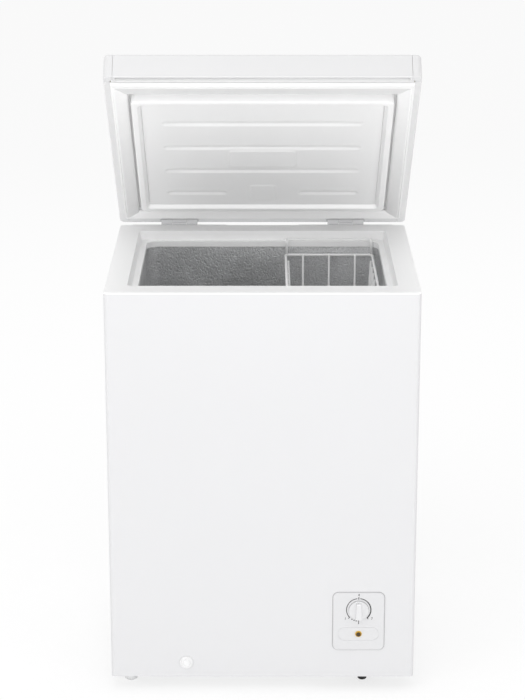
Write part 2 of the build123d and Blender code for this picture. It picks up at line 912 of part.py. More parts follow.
# Louvred grille over the back of the bay
louvre_count = 12
louvre_pitch = 15.0
louvre_width = 112.0
hood_depth = 5.0
hood_height = 8.0
hood_wall = 1.2
hood_top = 2.5
hood_lip = 1.6
louvre_drop = 14.0
grille_sheet = 1.6
grille_lap = 9.0
grille_left = vent_left - grille_lap
grille_right = vent_right + grille_lap
grille_mid = (vent_left + vent_right) / 2
grille_out = back - steel + grille_sheet
gland_rise = 14.0
gland_inset = 16.0
gland_z = vent_bottom + gland_rise
gland_x = vent_left + gland_inset
gland_radius = 8.0
gland_wall = 1.5
gland_flange = 3.0
gland_tail = 6.0
cord_radius = 3.5
grille_screw_inset = 4.5
grille_screw_spots = [
    (x, z)
    for x in (grille_left + grille_screw_inset, grille_right - grille_screw_inset)
    for z in (vent_bottom - grille_screw_inset, vent_top + grille_screw_inset)
]

with BuildPart() as rear_grille:
    block(
        (grille_left, grille_right),
        (back - steel, grille_out),
        (vent_bottom - grille_lap, vent_top + grille_lap),
    )
    first_louvre = vent_top - louvre_drop - (louvre_count - 1) * louvre_pitch
    louvre_levels = [first_louvre + i * louvre_pitch for i in range(louvre_count)]
    for z in louvre_levels:
        with BuildSketch(Plane.YZ.offset(grille_mid - louvre_width / 2)):
            with BuildLine():
                Polyline(
                    (grille_out, z + hood_height),
                    (grille_out + hood_depth, z),
                    (grille_out, z),
                    close=True,
                )
            make_face()
        extrude(amount=louvre_width)
    for z in louvre_levels:
        with BuildSketch(Plane.YZ.offset(grille_mid - louvre_width / 2 + hood_wall)):
            with BuildLine():
                Polyline(
                    (back - steel, z + hood_height - hood_top),
                    (grille_out, z + hood_height - hood_top),
                    (grille_out + hood_depth - hood_lip, z),
                    (back - steel, z),
                    close=True,
                )
            make_face()
        extrude(amount=louvre_width - 2 * hood_wall, mode=Mode.SUBTRACT)
    with BuildSketch(back_plane):
        with Locations((gland_x, gland_z)):
            Circle(gland_radius - gland_wall)
        with Locations(*grille_screw_spots):
            Circle(hinge_screw_radius + screw_fit)
    extrude(amount=3 * grille_sheet, both=True, mode=Mode.SUBTRACT)
write(rear_grille, "rear_grille")

with BuildPart() as grille_screws:
    with BuildSketch(Plane.XZ.offset(-grille_out)):
        with Locations(*grille_screw_spots):
            Circle(screw_head_radius)
    extrude(amount=-screw_head)
    with BuildSketch(Plane.XZ.offset(-grille_out)):
        with Locations(*grille_screw_spots):
            Circle(hinge_screw_radius)
    extrude(amount=grille_sheet)
write(grille_screws, "grille_screws")

with BuildPart() as cord_gland:
    with BuildSketch(Plane.XZ.offset(-grille_out)):
        with Locations((gland_x, gland_z)):
            Circle(gland_radius)
    extrude(amount=-gland_flange)
    with BuildSketch(Plane.XZ.offset(-grille_out)):
        with Locations((gland_x, gland_z)):
            Circle(gland_radius - gland_wall)
    extrude(amount=grille_sheet + gland_tail)
    with BuildSketch(Plane.XZ.offset(-grille_out - gland_flange)):
        with Locations((gland_x, gland_z)):
            Circle(cord_radius)
    extrude(amount=gland_flange + grille_sheet + gland_tail, mode=Mode.SUBTRACT)
write(cord_gland, "cord_gland")

# ================================================================ controls
bezel_face = front - bezel_proud
field_depth = 0.5
field_line = 0.6

with BuildPart() as control_bezel:
    with BuildSketch(front_plane):
        with Locations((bezel_x, bezel_z)):
            bezel_plan()
    extrude(amount=bezel_proud)
    chamfer(control_bezel.faces().sort_by(Axis.Y)[0].edges(), bezel_bevel)
    with BuildSketch(front_plane):
        with Locations((bezel_x, bezel_z)):
            bezel_plan(bezel_lip)
            bezel_plan(2 * bezel_lip, mode=Mode.SUBTRACT)
    extrude(amount=-bezel_collar)
    with BuildSketch(front_plane):
        with Locations((bezel_x, knob_z)):
            Circle(shaft_radius + shaft_boss)
    extrude(amount=-thermostat_reach)
    with BuildSketch(Plane.XZ.offset(-bezel_face)):
        with Locations((bezel_x, lamp_z)):
            SlotOverall(field_width, field_height)
            SlotOverall(field_width - 2 * field_line, field_height - 2 * field_line, mode=Mode.SUBTRACT)
    extrude(amount=-field_depth, mode=Mode.SUBTRACT)
    with BuildSketch(Plane.XZ.offset(-bezel_face)):
        with Locations((bezel_x, knob_z)):
            Circle(shaft_radius + shaft_fit)
        with Locations((bezel_x, lamp_z)):
            Circle(lamp_radius - lamp_lip)
    extrude(amount=-bezel_proud - thermostat_reach, mode=Mode.SUBTRACT)
write(control_bezel, "control_bezel")

lamp_proud = 2.6
lamp_edge = 1.0
lamp_tail = 10.0
lens_fit = 0.1
with BuildPart() as lamp_lens:
    with BuildSketch(Plane.XZ.offset(-bezel_face)):
        with Locations((bezel_x, lamp_z)):
            Circle(lamp_radius)
    extrude(amount=lamp_proud)
    chamfer(lamp_lens.edges().group_by(Axis.Y)[0], lamp_proud - lamp_edge)
    with BuildSketch(Plane.XZ.offset(-bezel_face)):
        with Locations((bezel_x, lamp_z)):
            Circle(lamp_radius - lamp_lip - lens_fit)
    extrude(amount=-bezel_proud - lamp_tail)
write(lamp_lens, "lamp_lens")

thermostat_face = front + thermostat_reach
thermostat_half = (24.0, 17.0)
thermostat_depth = 26.0
thermostat_corner = 3.0
shaft_seat = 10.0
tab_x = 14.0
tab_half = 3.0
tab_length = 7.0
with BuildPart() as thermostat_body:
    block(
        (bezel_x - thermostat_half[0], bezel_x + thermostat_half[0]),
        (thermostat_face, thermostat_face + thermostat_depth),
        (knob_z - thermostat_half[1], knob_z + thermostat_half[1]),
    )
    fillet(thermostat_body.edges().filter_by(Axis.Y), thermostat_corner)
    with BuildSketch(Plane.XZ.offset(-thermostat_face)):
        with Locations((bezel_x, knob_z)):
            Circle(shaft_radius + shaft_fit)
    extrude(amount=-shaft_seat, mode=Mode.SUBTRACT)
    for side in (-1, 1):
        block(
            (bezel_x + side * tab_x - tab_half, bezel_x + side * tab_x + tab_half),
            (thermostat_face + thermostat_depth, thermostat_face + thermostat_depth + tab_length),
            (knob_z - steel / 2, knob_z + steel / 2),
        )
write(thermostat_body, "thermostat_body")

knob_back = bezel_face - knob_gap
shaft_end = 1.0  # shaft to the bottom of its seat
grip_top = 8.0
grip_bottom = 13.0
knob_rim = 1.4
knob_round = 1.5
grip_round = 1.2
grip_reach = 1.0  # cuts run past the knob
knob_reach = knob_radius + grip_reach
with BuildPart() as knob:
    with BuildSketch(Plane.XZ.offset(-knob_back)):
        with Locations((bezel_x, knob_z)):
            Circle(knob_radius)
    extrude(amount=knob_skirt)
    with BuildSketch(Plane.XZ.offset(-knob_back)):
        with Locations((bezel_x, knob_z)):
            Circle(knob_radius - knob_rim)
    extrude(amount=knob_height)
    fillet(knob.faces().sort_by(Axis.Y)[0].edges(), knob_round)
    for side in (-1, 1):
        with BuildSketch(Plane.XZ.offset(knob_skirt - knob_back)):
            with BuildLine():
                Polyline(
                    (bezel_x + side * grip_top / 2, knob_z + knob_reach),
                    (bezel_x + side * grip_bottom / 2, knob_z - knob_reach),
                    (bezel_x + side * knob_reach, knob_z - knob_reach),
                    (bezel_x + side * knob_reach, knob_z + knob_reach),
                    close=True,
                )
            make_face()
        extrude(amount=knob_height, mode=Mode.SUBTRACT)
    fillet(knob.edges().group_by(Axis.Y)[0], grip_round)
write(knob, "knob")

with BuildPart() as thermostat_shaft:
    with BuildSketch(Plane.XZ.offset(-knob_back)):
        with Locations((bezel_x, knob_z)):
            Circle(shaft_radius)
    extrude(amount=-(thermostat_face + shaft_seat - shaft_end - knob_back))
write(thermostat_shaft, "thermostat_shaft")

# ================================================================ hinges
pin_end = 2.0
arm_slack = 0.5  # bracket arms to the leaf's knuckle
arm_drop = 14.0
arm_foot = 33.0
leaf_margin = 6.0
leaf_front = -12.0
leaf_inset = 2.0  # leaf to the lid's rear edge
leaf_back = lid_rear - leaf_inset
leaf_screw_y = 8.5
leaf_screw_inset = 12.0
leaf_screw_spots = [
    (side * x, leaf_screw_y)
    for side in (-1, 1)
    for x in (hinge_inner_x + leaf_screw_inset, hinge_outer_x - leaf_screw_inset)
]
for side, name in ((-1, "left"), (1, "right")):
    x_inner, x_outer = side * hinge_inner_x, side * hinge_outer_x
    spots = [spot for spot in hinge_screw_spots if spot[0] * side > 0]

    with BuildPart() as hinge_bracket:
        block(
            tuple(sorted((x_inner, x_outer))),
            (back, back + hinge_plate),
            (rim - bracket_height, rim - arm_drop),
        )
        inner_arm = (x_inner, side * (leaf_inner_x - arm_slack))
        outer_arm = (side * (leaf_outer_x + arm_slack), x_outer)
        for arm in (inner_arm, outer_arm):
            with BuildSketch(Plane.YZ.offset(min(arm))):
                with BuildLine():
                    Polyline(
                        (back + hinge_plate, rim - arm_foot),
                        (pin_y + knuckle_radius, pin_z),
                        (pin_y - knuckle_radius, pin_z),
                        (back + hinge_step + 1, rim - arm_drop),
                        (back + hinge_plate, rim - arm_drop),
                        close=True,
                    )
                make_face()
                with Locations((pin_y, pin_z)):
                    Circle(knuckle_radius)
                    Circle(pin_radius + pin_fit, mode=Mode.SUBTRACT)
            extrude(amount=abs(arm[1] - arm[0]))
        with BuildSketch(back_plane):
            with Locations(*spots):
                Circle(hinge_screw_radius + screw_fit)
        extrude(amount=-2 * hinge_plate, mode=Mode.SUBTRACT)
    write(hinge_bracket, f"hinge_bracket_{name}")

    leaf_x = tuple(sorted((side * (hinge_inner_x + leaf_margin), side * (hinge_outer_x - leaf_margin))))
    knuckle_x = tuple(sorted((side * leaf_inner_x, side * leaf_outer_x)))
    with BuildPart() as hinge_leaf:
        block(leaf_x, (leaf_front, leaf_back), (skirt_z - hinge_plate, skirt_z), plane=lid_plane)
        block(knuckle_x, (-leaf_knuckle_radius, leaf_knuckle_radius), (0, skirt_z - 1), plane=lid_plane)
        with BuildSketch(Plane.YZ.offset(knuckle_x[0])):
            with Locations((pin_y, pin_z)):
                Circle(leaf_knuckle_radius)
        extrude(amount=leaf_outer_x - leaf_inner_x)
        with BuildSketch(Plane.YZ.offset(knuckle_x[0])):
            with Locations((pin_y, pin_z)):
                Circle(pin_radius + pin_fit)
        extrude(amount=leaf_outer_x - leaf_inner_x, mode=Mode.SUBTRACT)
        with BuildSketch(lid_level(skirt_z)):
            with Locations(*[spot for spot in leaf_screw_spots if spot[0] * side > 0]):
                Circle(hinge_screw_radius + screw_fit)
        extrude(amount=-hinge_plate, mode=Mode.SUBTRACT)
    write(hinge_leaf, f"hinge_leaf_{name}")

with BuildPart() as hinge_pins:
    for side in (-1, 1):
        with BuildSketch(Plane.YZ.offset(side * hinge_x)):
            with Locations((pin_y, pin_z)):
                Circle(pin_radius)
        extrude(amount=hinge_width / 2 + pin_end, both=True)
write(hinge_pins, "hinge_pins")

with BuildPart() as leaf_screws:
    with BuildSketch(lid_level(skirt_z - hinge_plate)):
        with Locations(*leaf_screw_spots):
            Circle(screw_head_radius)
    extrude(amount=-screw_head)
    with BuildSketch(lid_level(skirt_z - hinge_plate)):
        with Locations(*leaf_screw_spots):
            Circle(hinge_screw_radius)
    extrude(amount=hinge_plate + trim_wall)
write(leaf_screws, "leaf_screws")

with BuildPart() as hinge_screws:
    with BuildSketch(Plane.XZ.offset(-back - hinge_plate)):
        with Locations(*hinge_screw_spots):
            Circle(screw_head_radius)
    extrude(amount=-screw_head)
    with BuildSketch(Plane.XZ.offset(-back - hinge_plate)):
        with Locations(*hinge_screw_spots):
            Circle(hinge_screw_radius)
    extrude(amount=hinge_plate + steel)
write(hinge_screws, "hinge_screws")

# ================================================================ lid
lid_up = Axis((0, 0, 0), lid_plane.z_dir)

# The four trims and four corner caps are cut from one channel-shaped surround
with BuildPart() as surround:
    with BuildSketch(lid_level(skirt_z)):
        lid_plan(0)
    extrude(amount=lid_skirt)
    fillet(surround.edges().group_by(lid_up)[-1], trim_round)
    chamfer(surround.edges().group_by(lid_up)[0], trim_bevel)
    with BuildSketch(lid_level(skirt_z + trim_wall)):
        lid_plan(trim_wall)
    extrude(amount=lid_skirt - 2 * trim_wall, mode=Mode.SUBTRACT)
    with BuildSketch(lid_level(skirt_z)):
        lid_plan(trim_flange, behind=rear_flange)
    extrude(amount=trim_wall, mode=Mode.SUBTRACT)
    with BuildSketch(lid_level(skirt_top - trim_wall)):
        lid_plan(top_lip)
    extrude(amount=trim_wall, mode=Mode.SUBTRACT)
    with BuildSketch(lid_level(skirt_z)):
        with Locations(*leaf_screw_spots):
            Circle(hinge_screw_radius + screw_fit)
    extrude(amount=trim_wall, mode=Mode.SUBTRACT)

half_lid = lid_width / 2
cap_x = half_lid - front_cap
span = (skirt_z - 1, skirt_top + 1)
front_split = lid_front + front_cap
rear_split = lid_rear - rear_cap
groove_back = lid_front + trim_flange
shelf = 2.0
side_lap = 5.0  # side trims reach in behind the caps' seams


def lid_piece(x_range, y_range):
    """The stretch of the lid's surround that lies between two X and two Y limits."""
    with BuildPart() as piece:
        add(surround.part)
        block(x_range, y_range, span, plane=lid_plane, mode=Mode.INTERSECT)
    return piece


for side, name in ((-1, "left"), (1, "right")):
    cap_span = tuple(sorted((side * (cap_x + cap_seam / 2), side * (half_lid + 1))))
    side_span = tuple(sorted((side * (cap_x - side_lap), side * (half_lid + 1))))
    front_run = (lid_front - 1, front_split - cap_seam / 2)
    side_run = (front_split + cap_seam / 2, rear_split - cap_seam / 2)
    rear_run = (rear_split + cap_seam / 2, lid_rear + 1)
    write(lid_piece(cap_span, front_run), f"lid_front_cap_{name}")
    write(lid_piece(side_span, side_run), f"lid_side_trim_{name}")
    write(lid_piece(cap_span, rear_run), f"lid_rear_cap_{name}")

trim_half = cap_x - cap_seam / 2
groove_half = cap_x - 4
front_stretch = lid_piece((-trim_half, trim_half), (lid_front - 1, (lid_front + lid_rear) / 2))
with BuildPart() as lid_front_trim:
    add(front_stretch.part)
    block(
        (-groove_half, groove_half),
        (lid_front + trim_wall, groove_back + 1),
        (skirt_z - 1, skirt_z + finger_depth),
        plane=lid_plane,
        mode=Mode.SUBTRACT,
    )
    block(
        (-groove_half - shelf, groove_half + shelf),
        (lid_front + trim_wall - 1, groove_back + shelf),
        (skirt_z + finger_depth, skirt_z + finger_depth + shelf),
        plane=lid_plane,
    )
    block(
        (-groove_half - shelf, groove_half + shelf),
        (groove_back, groove_back + shelf),
        (skirt_z + trim_wall + lid_sheet, skirt_z + finger_depth + 1),
        plane=lid_plane,
    )
    for side in (-1, 1):
        block(
            tuple(sorted((side * groove_half, side * (groove_half + shelf)))),
            (lid_front + trim_wall - 1, groove_back),
            (skirt_z + 1, skirt_z + finger_depth + 1),
            plane=lid_plane,
        )
write(lid_front_trim, "lid_front_trim")
write(lid_piece((-trim_half, trim_half), (rear_split + cap_seam / 2, lid_rear + 1)), "lid_rear_trim")


def crown(inset, drop, mode=Mode.ADD):
    """The lid's crowned top inside the surround: a straight edge, then a slope up to the middle."""
    with BuildSketch(lid_level(skirt_top - trim_wall)) as edge:
        lid_plan(top_lip + inset)
    extrude(to_extrude=edge.sketch, amount=trim_wall - drop, mode=mode)
    with BuildSketch(lid_level(skirt_top - drop)) as foot:
        lid_plan(top_lip + inset)
    with BuildSketch(lid_level(skirt_top - drop + lid_crown)) as head:
        lid_plan(top_lip + inset + crown_slope, corner=crown_corner)
    loft(sections=[foot.sketch, head.sketch], mode=mode)


crown_corner = 8.0
with BuildPart() as lid_top_panel:
    crown(panel_gap, 0)
    crown(panel_gap + panel_sheet, panel_sheet, mode=Mode.SUBTRACT)
write(lid_top_panel, "lid_top_panel")

# The moulded underside: a flange, a plug and a grooved pocket in the plug's face
plug_front = opening_front + plug_gap - pin_y
plug_back = opening_back - plug_gap - pin_y
plug_face = skirt_z - plug_depth
field_z = plug_face + pocket_depth
flange_z = skirt_z + trim_wall
plug_round = 2.5
groove_slant = 50.0
wide_pad_corner = 7.0
small_pad_corner = 5.0
groove_length = plug_width - 2 * groove_margin
full_grooves = 3


def along_plug(share):
    """A place along the plug, as a share of its length behind its front wall."""
    return plug_front + (plug_back - plug_front) * share


groove_rows = [along_plug(groove_first + groove_pitch * i) for i in range(full_grooves)]
split_row = along_plug(groove_first + groove_pitch * full_grooves)


def plug_plan(inset):
    rounded(plug_width - 2 * inset, plug_front + inset, plug_back - inset, plug_corner - inset / 2)


def pocket(grow):
    """The pocket in the plug's face with its grooves and pads, grown by a sheet thickness."""
    with BuildPart() as hollow:
        with BuildSketch(lid_level(plug_face)):
            plug_plan(plug_border - grow)
        with BuildSketch(lid_level(field_z + grow)):
            plug_plan(plug_border + pocket_slope - grow)
        loft()
        with BuildSketch(lid_level(field_z + grow)):
            with Locations(*[(0, y) for y in groove_rows]):
                SlotOverall(groove_length + 2 * grow, groove_width + 2 * grow)
            with Locations(*[(side * split_groove_x, split_row) for side in (-1, 1)]):
                SlotOverall(split_groove_length + 2 * grow, groove_width + 2 * grow)
        extrude(amount=groove_depth, taper=groove_slant)
        with BuildSketch(lid_level(field_z + grow)):
            with Locations((0, along_plug(small_pad_place))):
                RectangleRounded(small_pad[0] + 2 * grow, small_pad[1] + 2 * grow, small_pad_corner)
        extrude(amount=small_pad_sink)
        with BuildSketch(lid_level(field_z + grow)):
            with Locations((0, along_plug(wide_pad_place))):
                RectangleRounded(wide_pad[0] - 2 * grow, wide_pad[1] - 2 * grow, wide_pad_corner - grow)
        extrude(amount=-wide_pad_rise, mode=Mode.SUBTRACT)
    return hollow.part


pocket_face = pocket(0)
pocket_back = pocket(lid_sheet)

with BuildPart() as plug_core:
    with BuildSketch(lid_level(plug_face + lid_sheet)):
        plug_plan(lid_sheet)
    extrude(amount=flange_z - plug_face)
    add(pocket_back, mode=Mode.SUBTRACT)

with BuildPart() as lid_liner:
    with BuildSketch(lid_level(flange_z)):
        lid_plan(trim_wall, ahead=trim_flange)
    extrude(amount=lid_sheet)
    with BuildSketch(lid_level(plug_face)):
        plug_plan(0)
    extrude(amount=flange_z - plug_face)
    fillet(lid_liner.faces().sort_by(lid_up)[0].edges(), plug_round)
    add(pocket_face, mode=Mode.SUBTRACT)
    add(plug_core.part, mode=Mode.SUBTRACT)
write(lid_liner, "lid_liner")

with BuildPart() as lid_foam:
    with BuildSketch(lid_level(flange_z + lid_sheet)):
        lid_plan(trim_wall, ahead=trim_flange + shelf)
    extrude(amount=skirt_top - trim_wall - flange_z - lid_sheet)
    block(
        (-half_lid, half_lid),
        (lid_front, groove_back + shelf),
        (skirt_z, skirt_z + finger_depth + shelf),
        plane=lid_plane,
        mode=Mode.SUBTRACT,
    )
    crown(panel_gap + panel_sheet, panel_sheet)
    add(plug_core.part)
write(lid_foam, "lid_foam")

# The gasket: a hollow ring with a bellows groove outside and a magnet strip inside
gasket_fit = 0.3
gasket_face = gasket_shut_gap - hinge_rise
magnet_base = gasket_face + gasket_skin
bellows_z = magnet_base + magnet_height + 1.5
bellows_height = 3.0
throat_inset = 7.0


def gasket_ring(z, height, outer, inner, mode=Mode.ADD):
    """A flat ring of the gasket between two distances from its outer wall."""
    with BuildSketch(lid_level(z)) as ring:
        lid_plan(trim_flange + gasket_fit + outer, behind=rear_flange + gasket_fit + outer)
        with BuildSketch(mode=Mode.PRIVATE) as core:
            lid_plan(trim_flange + gasket_fit + inner, behind=rear_flange + gasket_fit + inner)
        add(core.sketch, mode=Mode.SUBTRACT)
    extrude(to_extrude=ring.sketch, amount=height, mode=mode)


with BuildPart() as lid_gasket:
    gasket_ring(gasket_face, flange_z - gasket_face, 0, gasket_width)
    fillet(lid_gasket.faces().sort_by(lid_up)[0].outer_wire().edges(), 1.2)
    gasket_ring(magnet_base, magnet_height, gasket_skin, gasket_width - gasket_skin, mode=Mode.SUBTRACT)
    gasket_ring(
        magnet_base + magnet_height,
        flange_z - gasket_skin - magnet_base - magnet_height,
        throat_inset,
        gasket_width - throat_inset,
        mode=Mode.SUBTRACT,
    )
    gasket_ring(bellows_z, bellows_height, -1, bellows_depth, mode=Mode.SUBTRACT)
write(lid_gasket, "lid_gasket")

with BuildPart() as gasket_magnet:
    strip_inset = gasket_skin + gasket_fit
    gasket_ring(magnet_base, magnet_height - gasket_fit, strip_inset, gasket_width - strip_inset)
write(gasket_magnet, "gasket_magnet")

# ================================================================ basket
hanger_rest = 0.3  # hanger wire over the ledge
hanger_in = 4.0  # hanger legs in from the rail's corners
rail_clear = 4.0
rail_corner = 5.0
weld = 0.4  # how far crossing wires sink into each other
hanger_weld = 0.3
wire_bend = 5.0
hanger_bend = 2.5
hanger_z = ledge_z + hanger_rest + rail_wire
rail_z = hanger_z - rail_drop
rail_front = mouth_front + rail_clear + rail_wire
rail_back = mouth_back - rail_clear - rail_wire
hanger_spots = ((opening_front + mouth_inset / 2, rail_front), (opening_back - mouth_inset / 2, rail_back))
wire_in = rail_wire + thin_wire - weld
basket_floor = rail_z - basket_height

rail_start = ((basket_left + basket_right) / 2, rail_front, rail_z)
with BuildPart() as basket_rail:
    rail_corners = [
        rail_start,
        (basket_right, rail_front, rail_z),
        (basket_right, rail_back, rail_z),
        (basket_left, rail_back, rail_z),
        (basket_left, rail_front, rail_z),
        rail_start,
    ]
    tube(eased(rail_corners, rail_corner), rail_wire)
write(basket_rail, "basket_rail")

with BuildPart() as basket_hangers:
    for bar_y, leg_y in hanger_spots:
        hanger_corners = [
            (basket_left + hanger_in, leg_y, rail_z + rail_wire - hanger_weld),
            (basket_left + hanger_in, leg_y, hanger_z),
            (basket_left + hanger_in, bar_y, hanger_z),
            (basket_right - hanger_in, bar_y, hanger_z),
            (basket_right - hanger_in, leg_y, hanger_z),
            (basket_right - hanger_in, leg_y, rail_z + rail_wire - hanger_weld),
        ]
        tube(eased(hanger_corners, hanger_bend), rail_wire)
write(basket_hangers, "basket_hangers")

cross_rows = [rail_front + (rail_back - rail_front) * (i + 1) / (cross_count + 1) for i in range(cross_count)]
with BuildPart() as basket_cross_wires:
    for y in cross_rows:
        corners = [
            (basket_left + wire_in, y, rail_z),
            (basket_left + wire_in + basket_taper, y, basket_floor),
            (basket_right - wire_in - basket_taper, y, basket_floor),
            (basket_right - wire_in, y, rail_z),
        ]
        tube(eased(corners, wire_bend), thin_wire)
write(basket_cross_wires, "basket_cross_wires")

long_floor = basket_floor - 2 * thin_wire + weld
long_columns = [basket_left + (basket_right - basket_left) * share for share in (0.2, 0.5, 0.8)]
with BuildPart() as basket_long_wires:
    for x in long_columns:
        corners = [
            (x, rail_front + wire_in, rail_z),
            (x, rail_front + wire_in + basket_taper, long_floor),
            (x, rail_back - wire_in - basket_taper, long_floor),
            (x, rail_back - wire_in, rail_z),
        ]
        tube(eased(corners, wire_bend), thin_wire)
write(basket_long_wires, "basket_long_wires")
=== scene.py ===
"""The looks of a small chest freezer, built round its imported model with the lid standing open.

Metres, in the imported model's own frame: +X to the right seen from the front, +Y to the back, +Z up.
"""

import json
from math import copysign, cos, hypot, pi, radians, sin, tan

import bpy
from bpy.props import FloatProperty, FloatVectorProperty, IntProperty, PointerProperty
from mathutils import Matrix, Vector


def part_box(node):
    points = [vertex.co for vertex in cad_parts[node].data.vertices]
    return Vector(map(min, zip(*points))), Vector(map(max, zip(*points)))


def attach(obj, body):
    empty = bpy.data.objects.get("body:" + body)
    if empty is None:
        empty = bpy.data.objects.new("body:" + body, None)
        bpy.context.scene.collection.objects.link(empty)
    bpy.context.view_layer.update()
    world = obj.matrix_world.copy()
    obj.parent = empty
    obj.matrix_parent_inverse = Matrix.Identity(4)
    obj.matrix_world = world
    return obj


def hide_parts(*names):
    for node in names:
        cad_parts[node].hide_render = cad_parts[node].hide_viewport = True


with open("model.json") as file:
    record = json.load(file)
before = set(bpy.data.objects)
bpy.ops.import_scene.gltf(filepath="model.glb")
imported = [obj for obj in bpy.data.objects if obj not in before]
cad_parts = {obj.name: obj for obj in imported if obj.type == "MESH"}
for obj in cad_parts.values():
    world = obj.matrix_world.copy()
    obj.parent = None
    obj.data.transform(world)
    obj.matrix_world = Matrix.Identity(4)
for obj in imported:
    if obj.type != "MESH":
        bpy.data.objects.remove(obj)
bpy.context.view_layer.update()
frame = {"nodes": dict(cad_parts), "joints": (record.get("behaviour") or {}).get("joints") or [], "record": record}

bl_info = {
    "name": "Chest freezer looks",
    "version": (1, 0, 0),
    "blender": (4, 5, 0),
    "location": "3D View > Sidebar > Freezer",
    "description": "Finishes, wires, seals, mouldings and small parts of a chest freezer",
    "category": "Object",
}

MM = 0.001
NODES = frame["nodes"]
SLOTS = {part["node"]: part["material_slot"] for part in frame["record"]["subparts"]}
HINGE = next(joint for joint in frame["joints"] if joint["name"] == "lid_hinge")
LID_PIN = Vector(HINGE["pos_m"])
LID_ANGLE = radians(-HINGE["range_deg"][0])
LID = Matrix.Translation(LID_PIN) @ Matrix.Rotation(-LID_ANGLE, 4, "X")


def node_points(node, place=Matrix.Identity(4)):
    """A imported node's points, measured in another frame of directions."""
    inverse = place.inverted()
    return [inverse @ vertex.co for vertex in NODES[node].data.vertices]


def corners_of(points):
    """The lowest and the highest corner of the box round some points."""
    low = Vector([min(point[i] for point in points) for i in range(3)])
    high = Vector([max(point[i] for point in points) for i in range(3)])
    return low, high


def node_box(node, place=Matrix.Identity(4)):
    """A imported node's lowest and highest corners, measured in another frame of directions."""
    return corners_of(node_points(node, place))


# -------------------- sizes and colours a user may change
def length_value(name, description, metres):
    """A length that a user may change."""
    return FloatProperty(name=name, description=description, default=metres, unit="LENGTH")


def colour_value(name, description, colour):
    """A base colour that a user may change."""
    return FloatVectorProperty(name=name, description=description, subtype="COLOR", default=colour)


class WireSizes(bpy.types.PropertyGroup):
    """The basket's coated wires."""

    rail: length_value("Rail wire", "Radius of the rail and the hangers", 2.7 * MM)
    thin: length_value("Thin wire", "Radius of the basket's thin wires", 2.1 * MM)
    rail_bend: length_value("Rail bend", "Bend of the rail's corners", 6 * MM)
    hanger_bend: length_value("Hanger bend", "Bend of the hangers", 4.2 * MM)
    thin_bend: length_value("Thin bend", "Bend of the thin wires", 9 * MM)
    inset: length_value("Leg inset", "Hanger legs in from the corners", 2 * MM)
    weld: length_value("Weld", "How far crossing wires sink in", 0.4 * MM)
    taper: length_value("Taper", "How far the sides lean in", 10 * MM)
    crosses: IntProperty(name="Cross wires", description="Wires from side to side", default=7)


class SealSizes(bpy.types.PropertyGroup):
    """The door seal round the lid's plug."""

    lip: length_value("Lip", "Length of the outer lip", 3.2 * MM)
    skin: length_value("Skin", "Thickness of the seal's skin", 0.7 * MM)
    weld_gap: length_value("Corner weld", "Width of the line where two lengths are welded", 0.8 * MM)
    weld_dip: length_value("Weld dip", "Depth of that line", 0.35 * MM)


class LinerSizes(bpy.types.PropertyGroup):
    """The lid's vacuum-formed inner face."""

    border: length_value("Border", "Flat border round the pocket", 11 * MM)
    pocket: length_value("Pocket", "Depth of the pocket", 8 * MM)
    slope: length_value("Slope", "How far the pocket's walls lean in", 6 * MM)
    groove_length: length_value("Groove length", "Length of a full groove", 380 * MM)
    groove_width: length_value("Groove width", "Width of a groove", 13 * MM)
    groove_depth: length_value("Groove depth", "Depth of a groove", 2.4 * MM)
    groove_first: length_value("First groove", "First groove behind the lid's front", 141 * MM)
    groove_pitch: length_value("Groove pitch", "From groove to groove", 86 * MM)
    split_length: length_value("Split groove", "Length of each half groove", 122 * MM)
    split_x: length_value("Split place", "Half grooves from the middle", 129 * MM)
    wide_pad_y: length_value("Wide pad place", "Wide pad behind the lid's front", 268 * MM)
    small_pad_y: length_value("Small pad place", "Small pad behind the lid's front", 399 * MM)
    pad_rise: length_value("Pad rise", "How far the pads stand out", 1.1 * MM)
    pad_edge: length_value("Pad edge", "Width of a pad's edge", 2.4 * MM)
    step: length_value("Mesh step", "Spacing of the moulding's mesh", 1.6 * MM)


class DialSizes(bpy.types.PropertyGroup):
    """The print round the thermostat knob."""

    radius: length_value("Arc radius", "Radius of the printed scale", 23 * MM)
    thin: length_value("Thin end", "Width of the scale at its mild end", 1.5 * MM)
    thick: length_value("Thick end", "Width of the scale at its cold end", 2.3 * MM)
    digit: length_value("Digit height", "Height of the numbers", 7.5 * MM)
    ink: length_value("Ink", "Thickness of the print", 0.06 * MM)


class Colours(bpy.types.PropertyGroup):
    """Base colours of the finishes."""

    steel: colour_value("White steel", "Painted sheet", (0.71, 0.71, 0.72))
    plastic: colour_value("White plastic", "Trims", (0.82, 0.82, 0.822))
    liner: colour_value("Lid liner", "Formed sheet", (0.94, 0.94, 0.94))
    seal: colour_value("Seal", "Soft vinyl", (0.92, 0.92, 0.92))
    aluminium: colour_value("Aluminium", "Embossed sheet", (0.66, 0.665, 0.67))
    # the collar, the bezel and the lid's front are copies of the trim plastic: the collar's lighter colour is
    # painted light, the darker bezel and lid front are painted shade
    collar: colour_value("Collar", "Frame round the opening", (0.94, 0.94, 0.94))
    bezel: colour_value("Bezel", "Control panel", (0.69, 0.69, 0.7))
    front: colour_value("Lid front", "The lid's front trim and caps", (0.75, 0.75, 0.755))
    ink: colour_value("Ink", "Print on the panel", (0.012, 0.012, 0.013))


class StageSizes(bpy.types.PropertyGroup):
    """Camera, floor and lamps."""

    lens: FloatProperty(name="Lens", description="Focal length in millimetres", default=110.5)
    distance: length_value("Distance", "Camera in front of the cabinet", 3.7265)
    height: length_value("Height", "Camera above the floor", 1.8391)
    pitch: FloatProperty(
        name="Pitch", description="Camera tilted down", default=radians(17.32), subtype="ANGLE"
    )
    floor: length_value("Floor", "Width of the floor", 40.0)
    sky: FloatProperty(name="Surround light", description="Strength of the light all round", default=0.76)


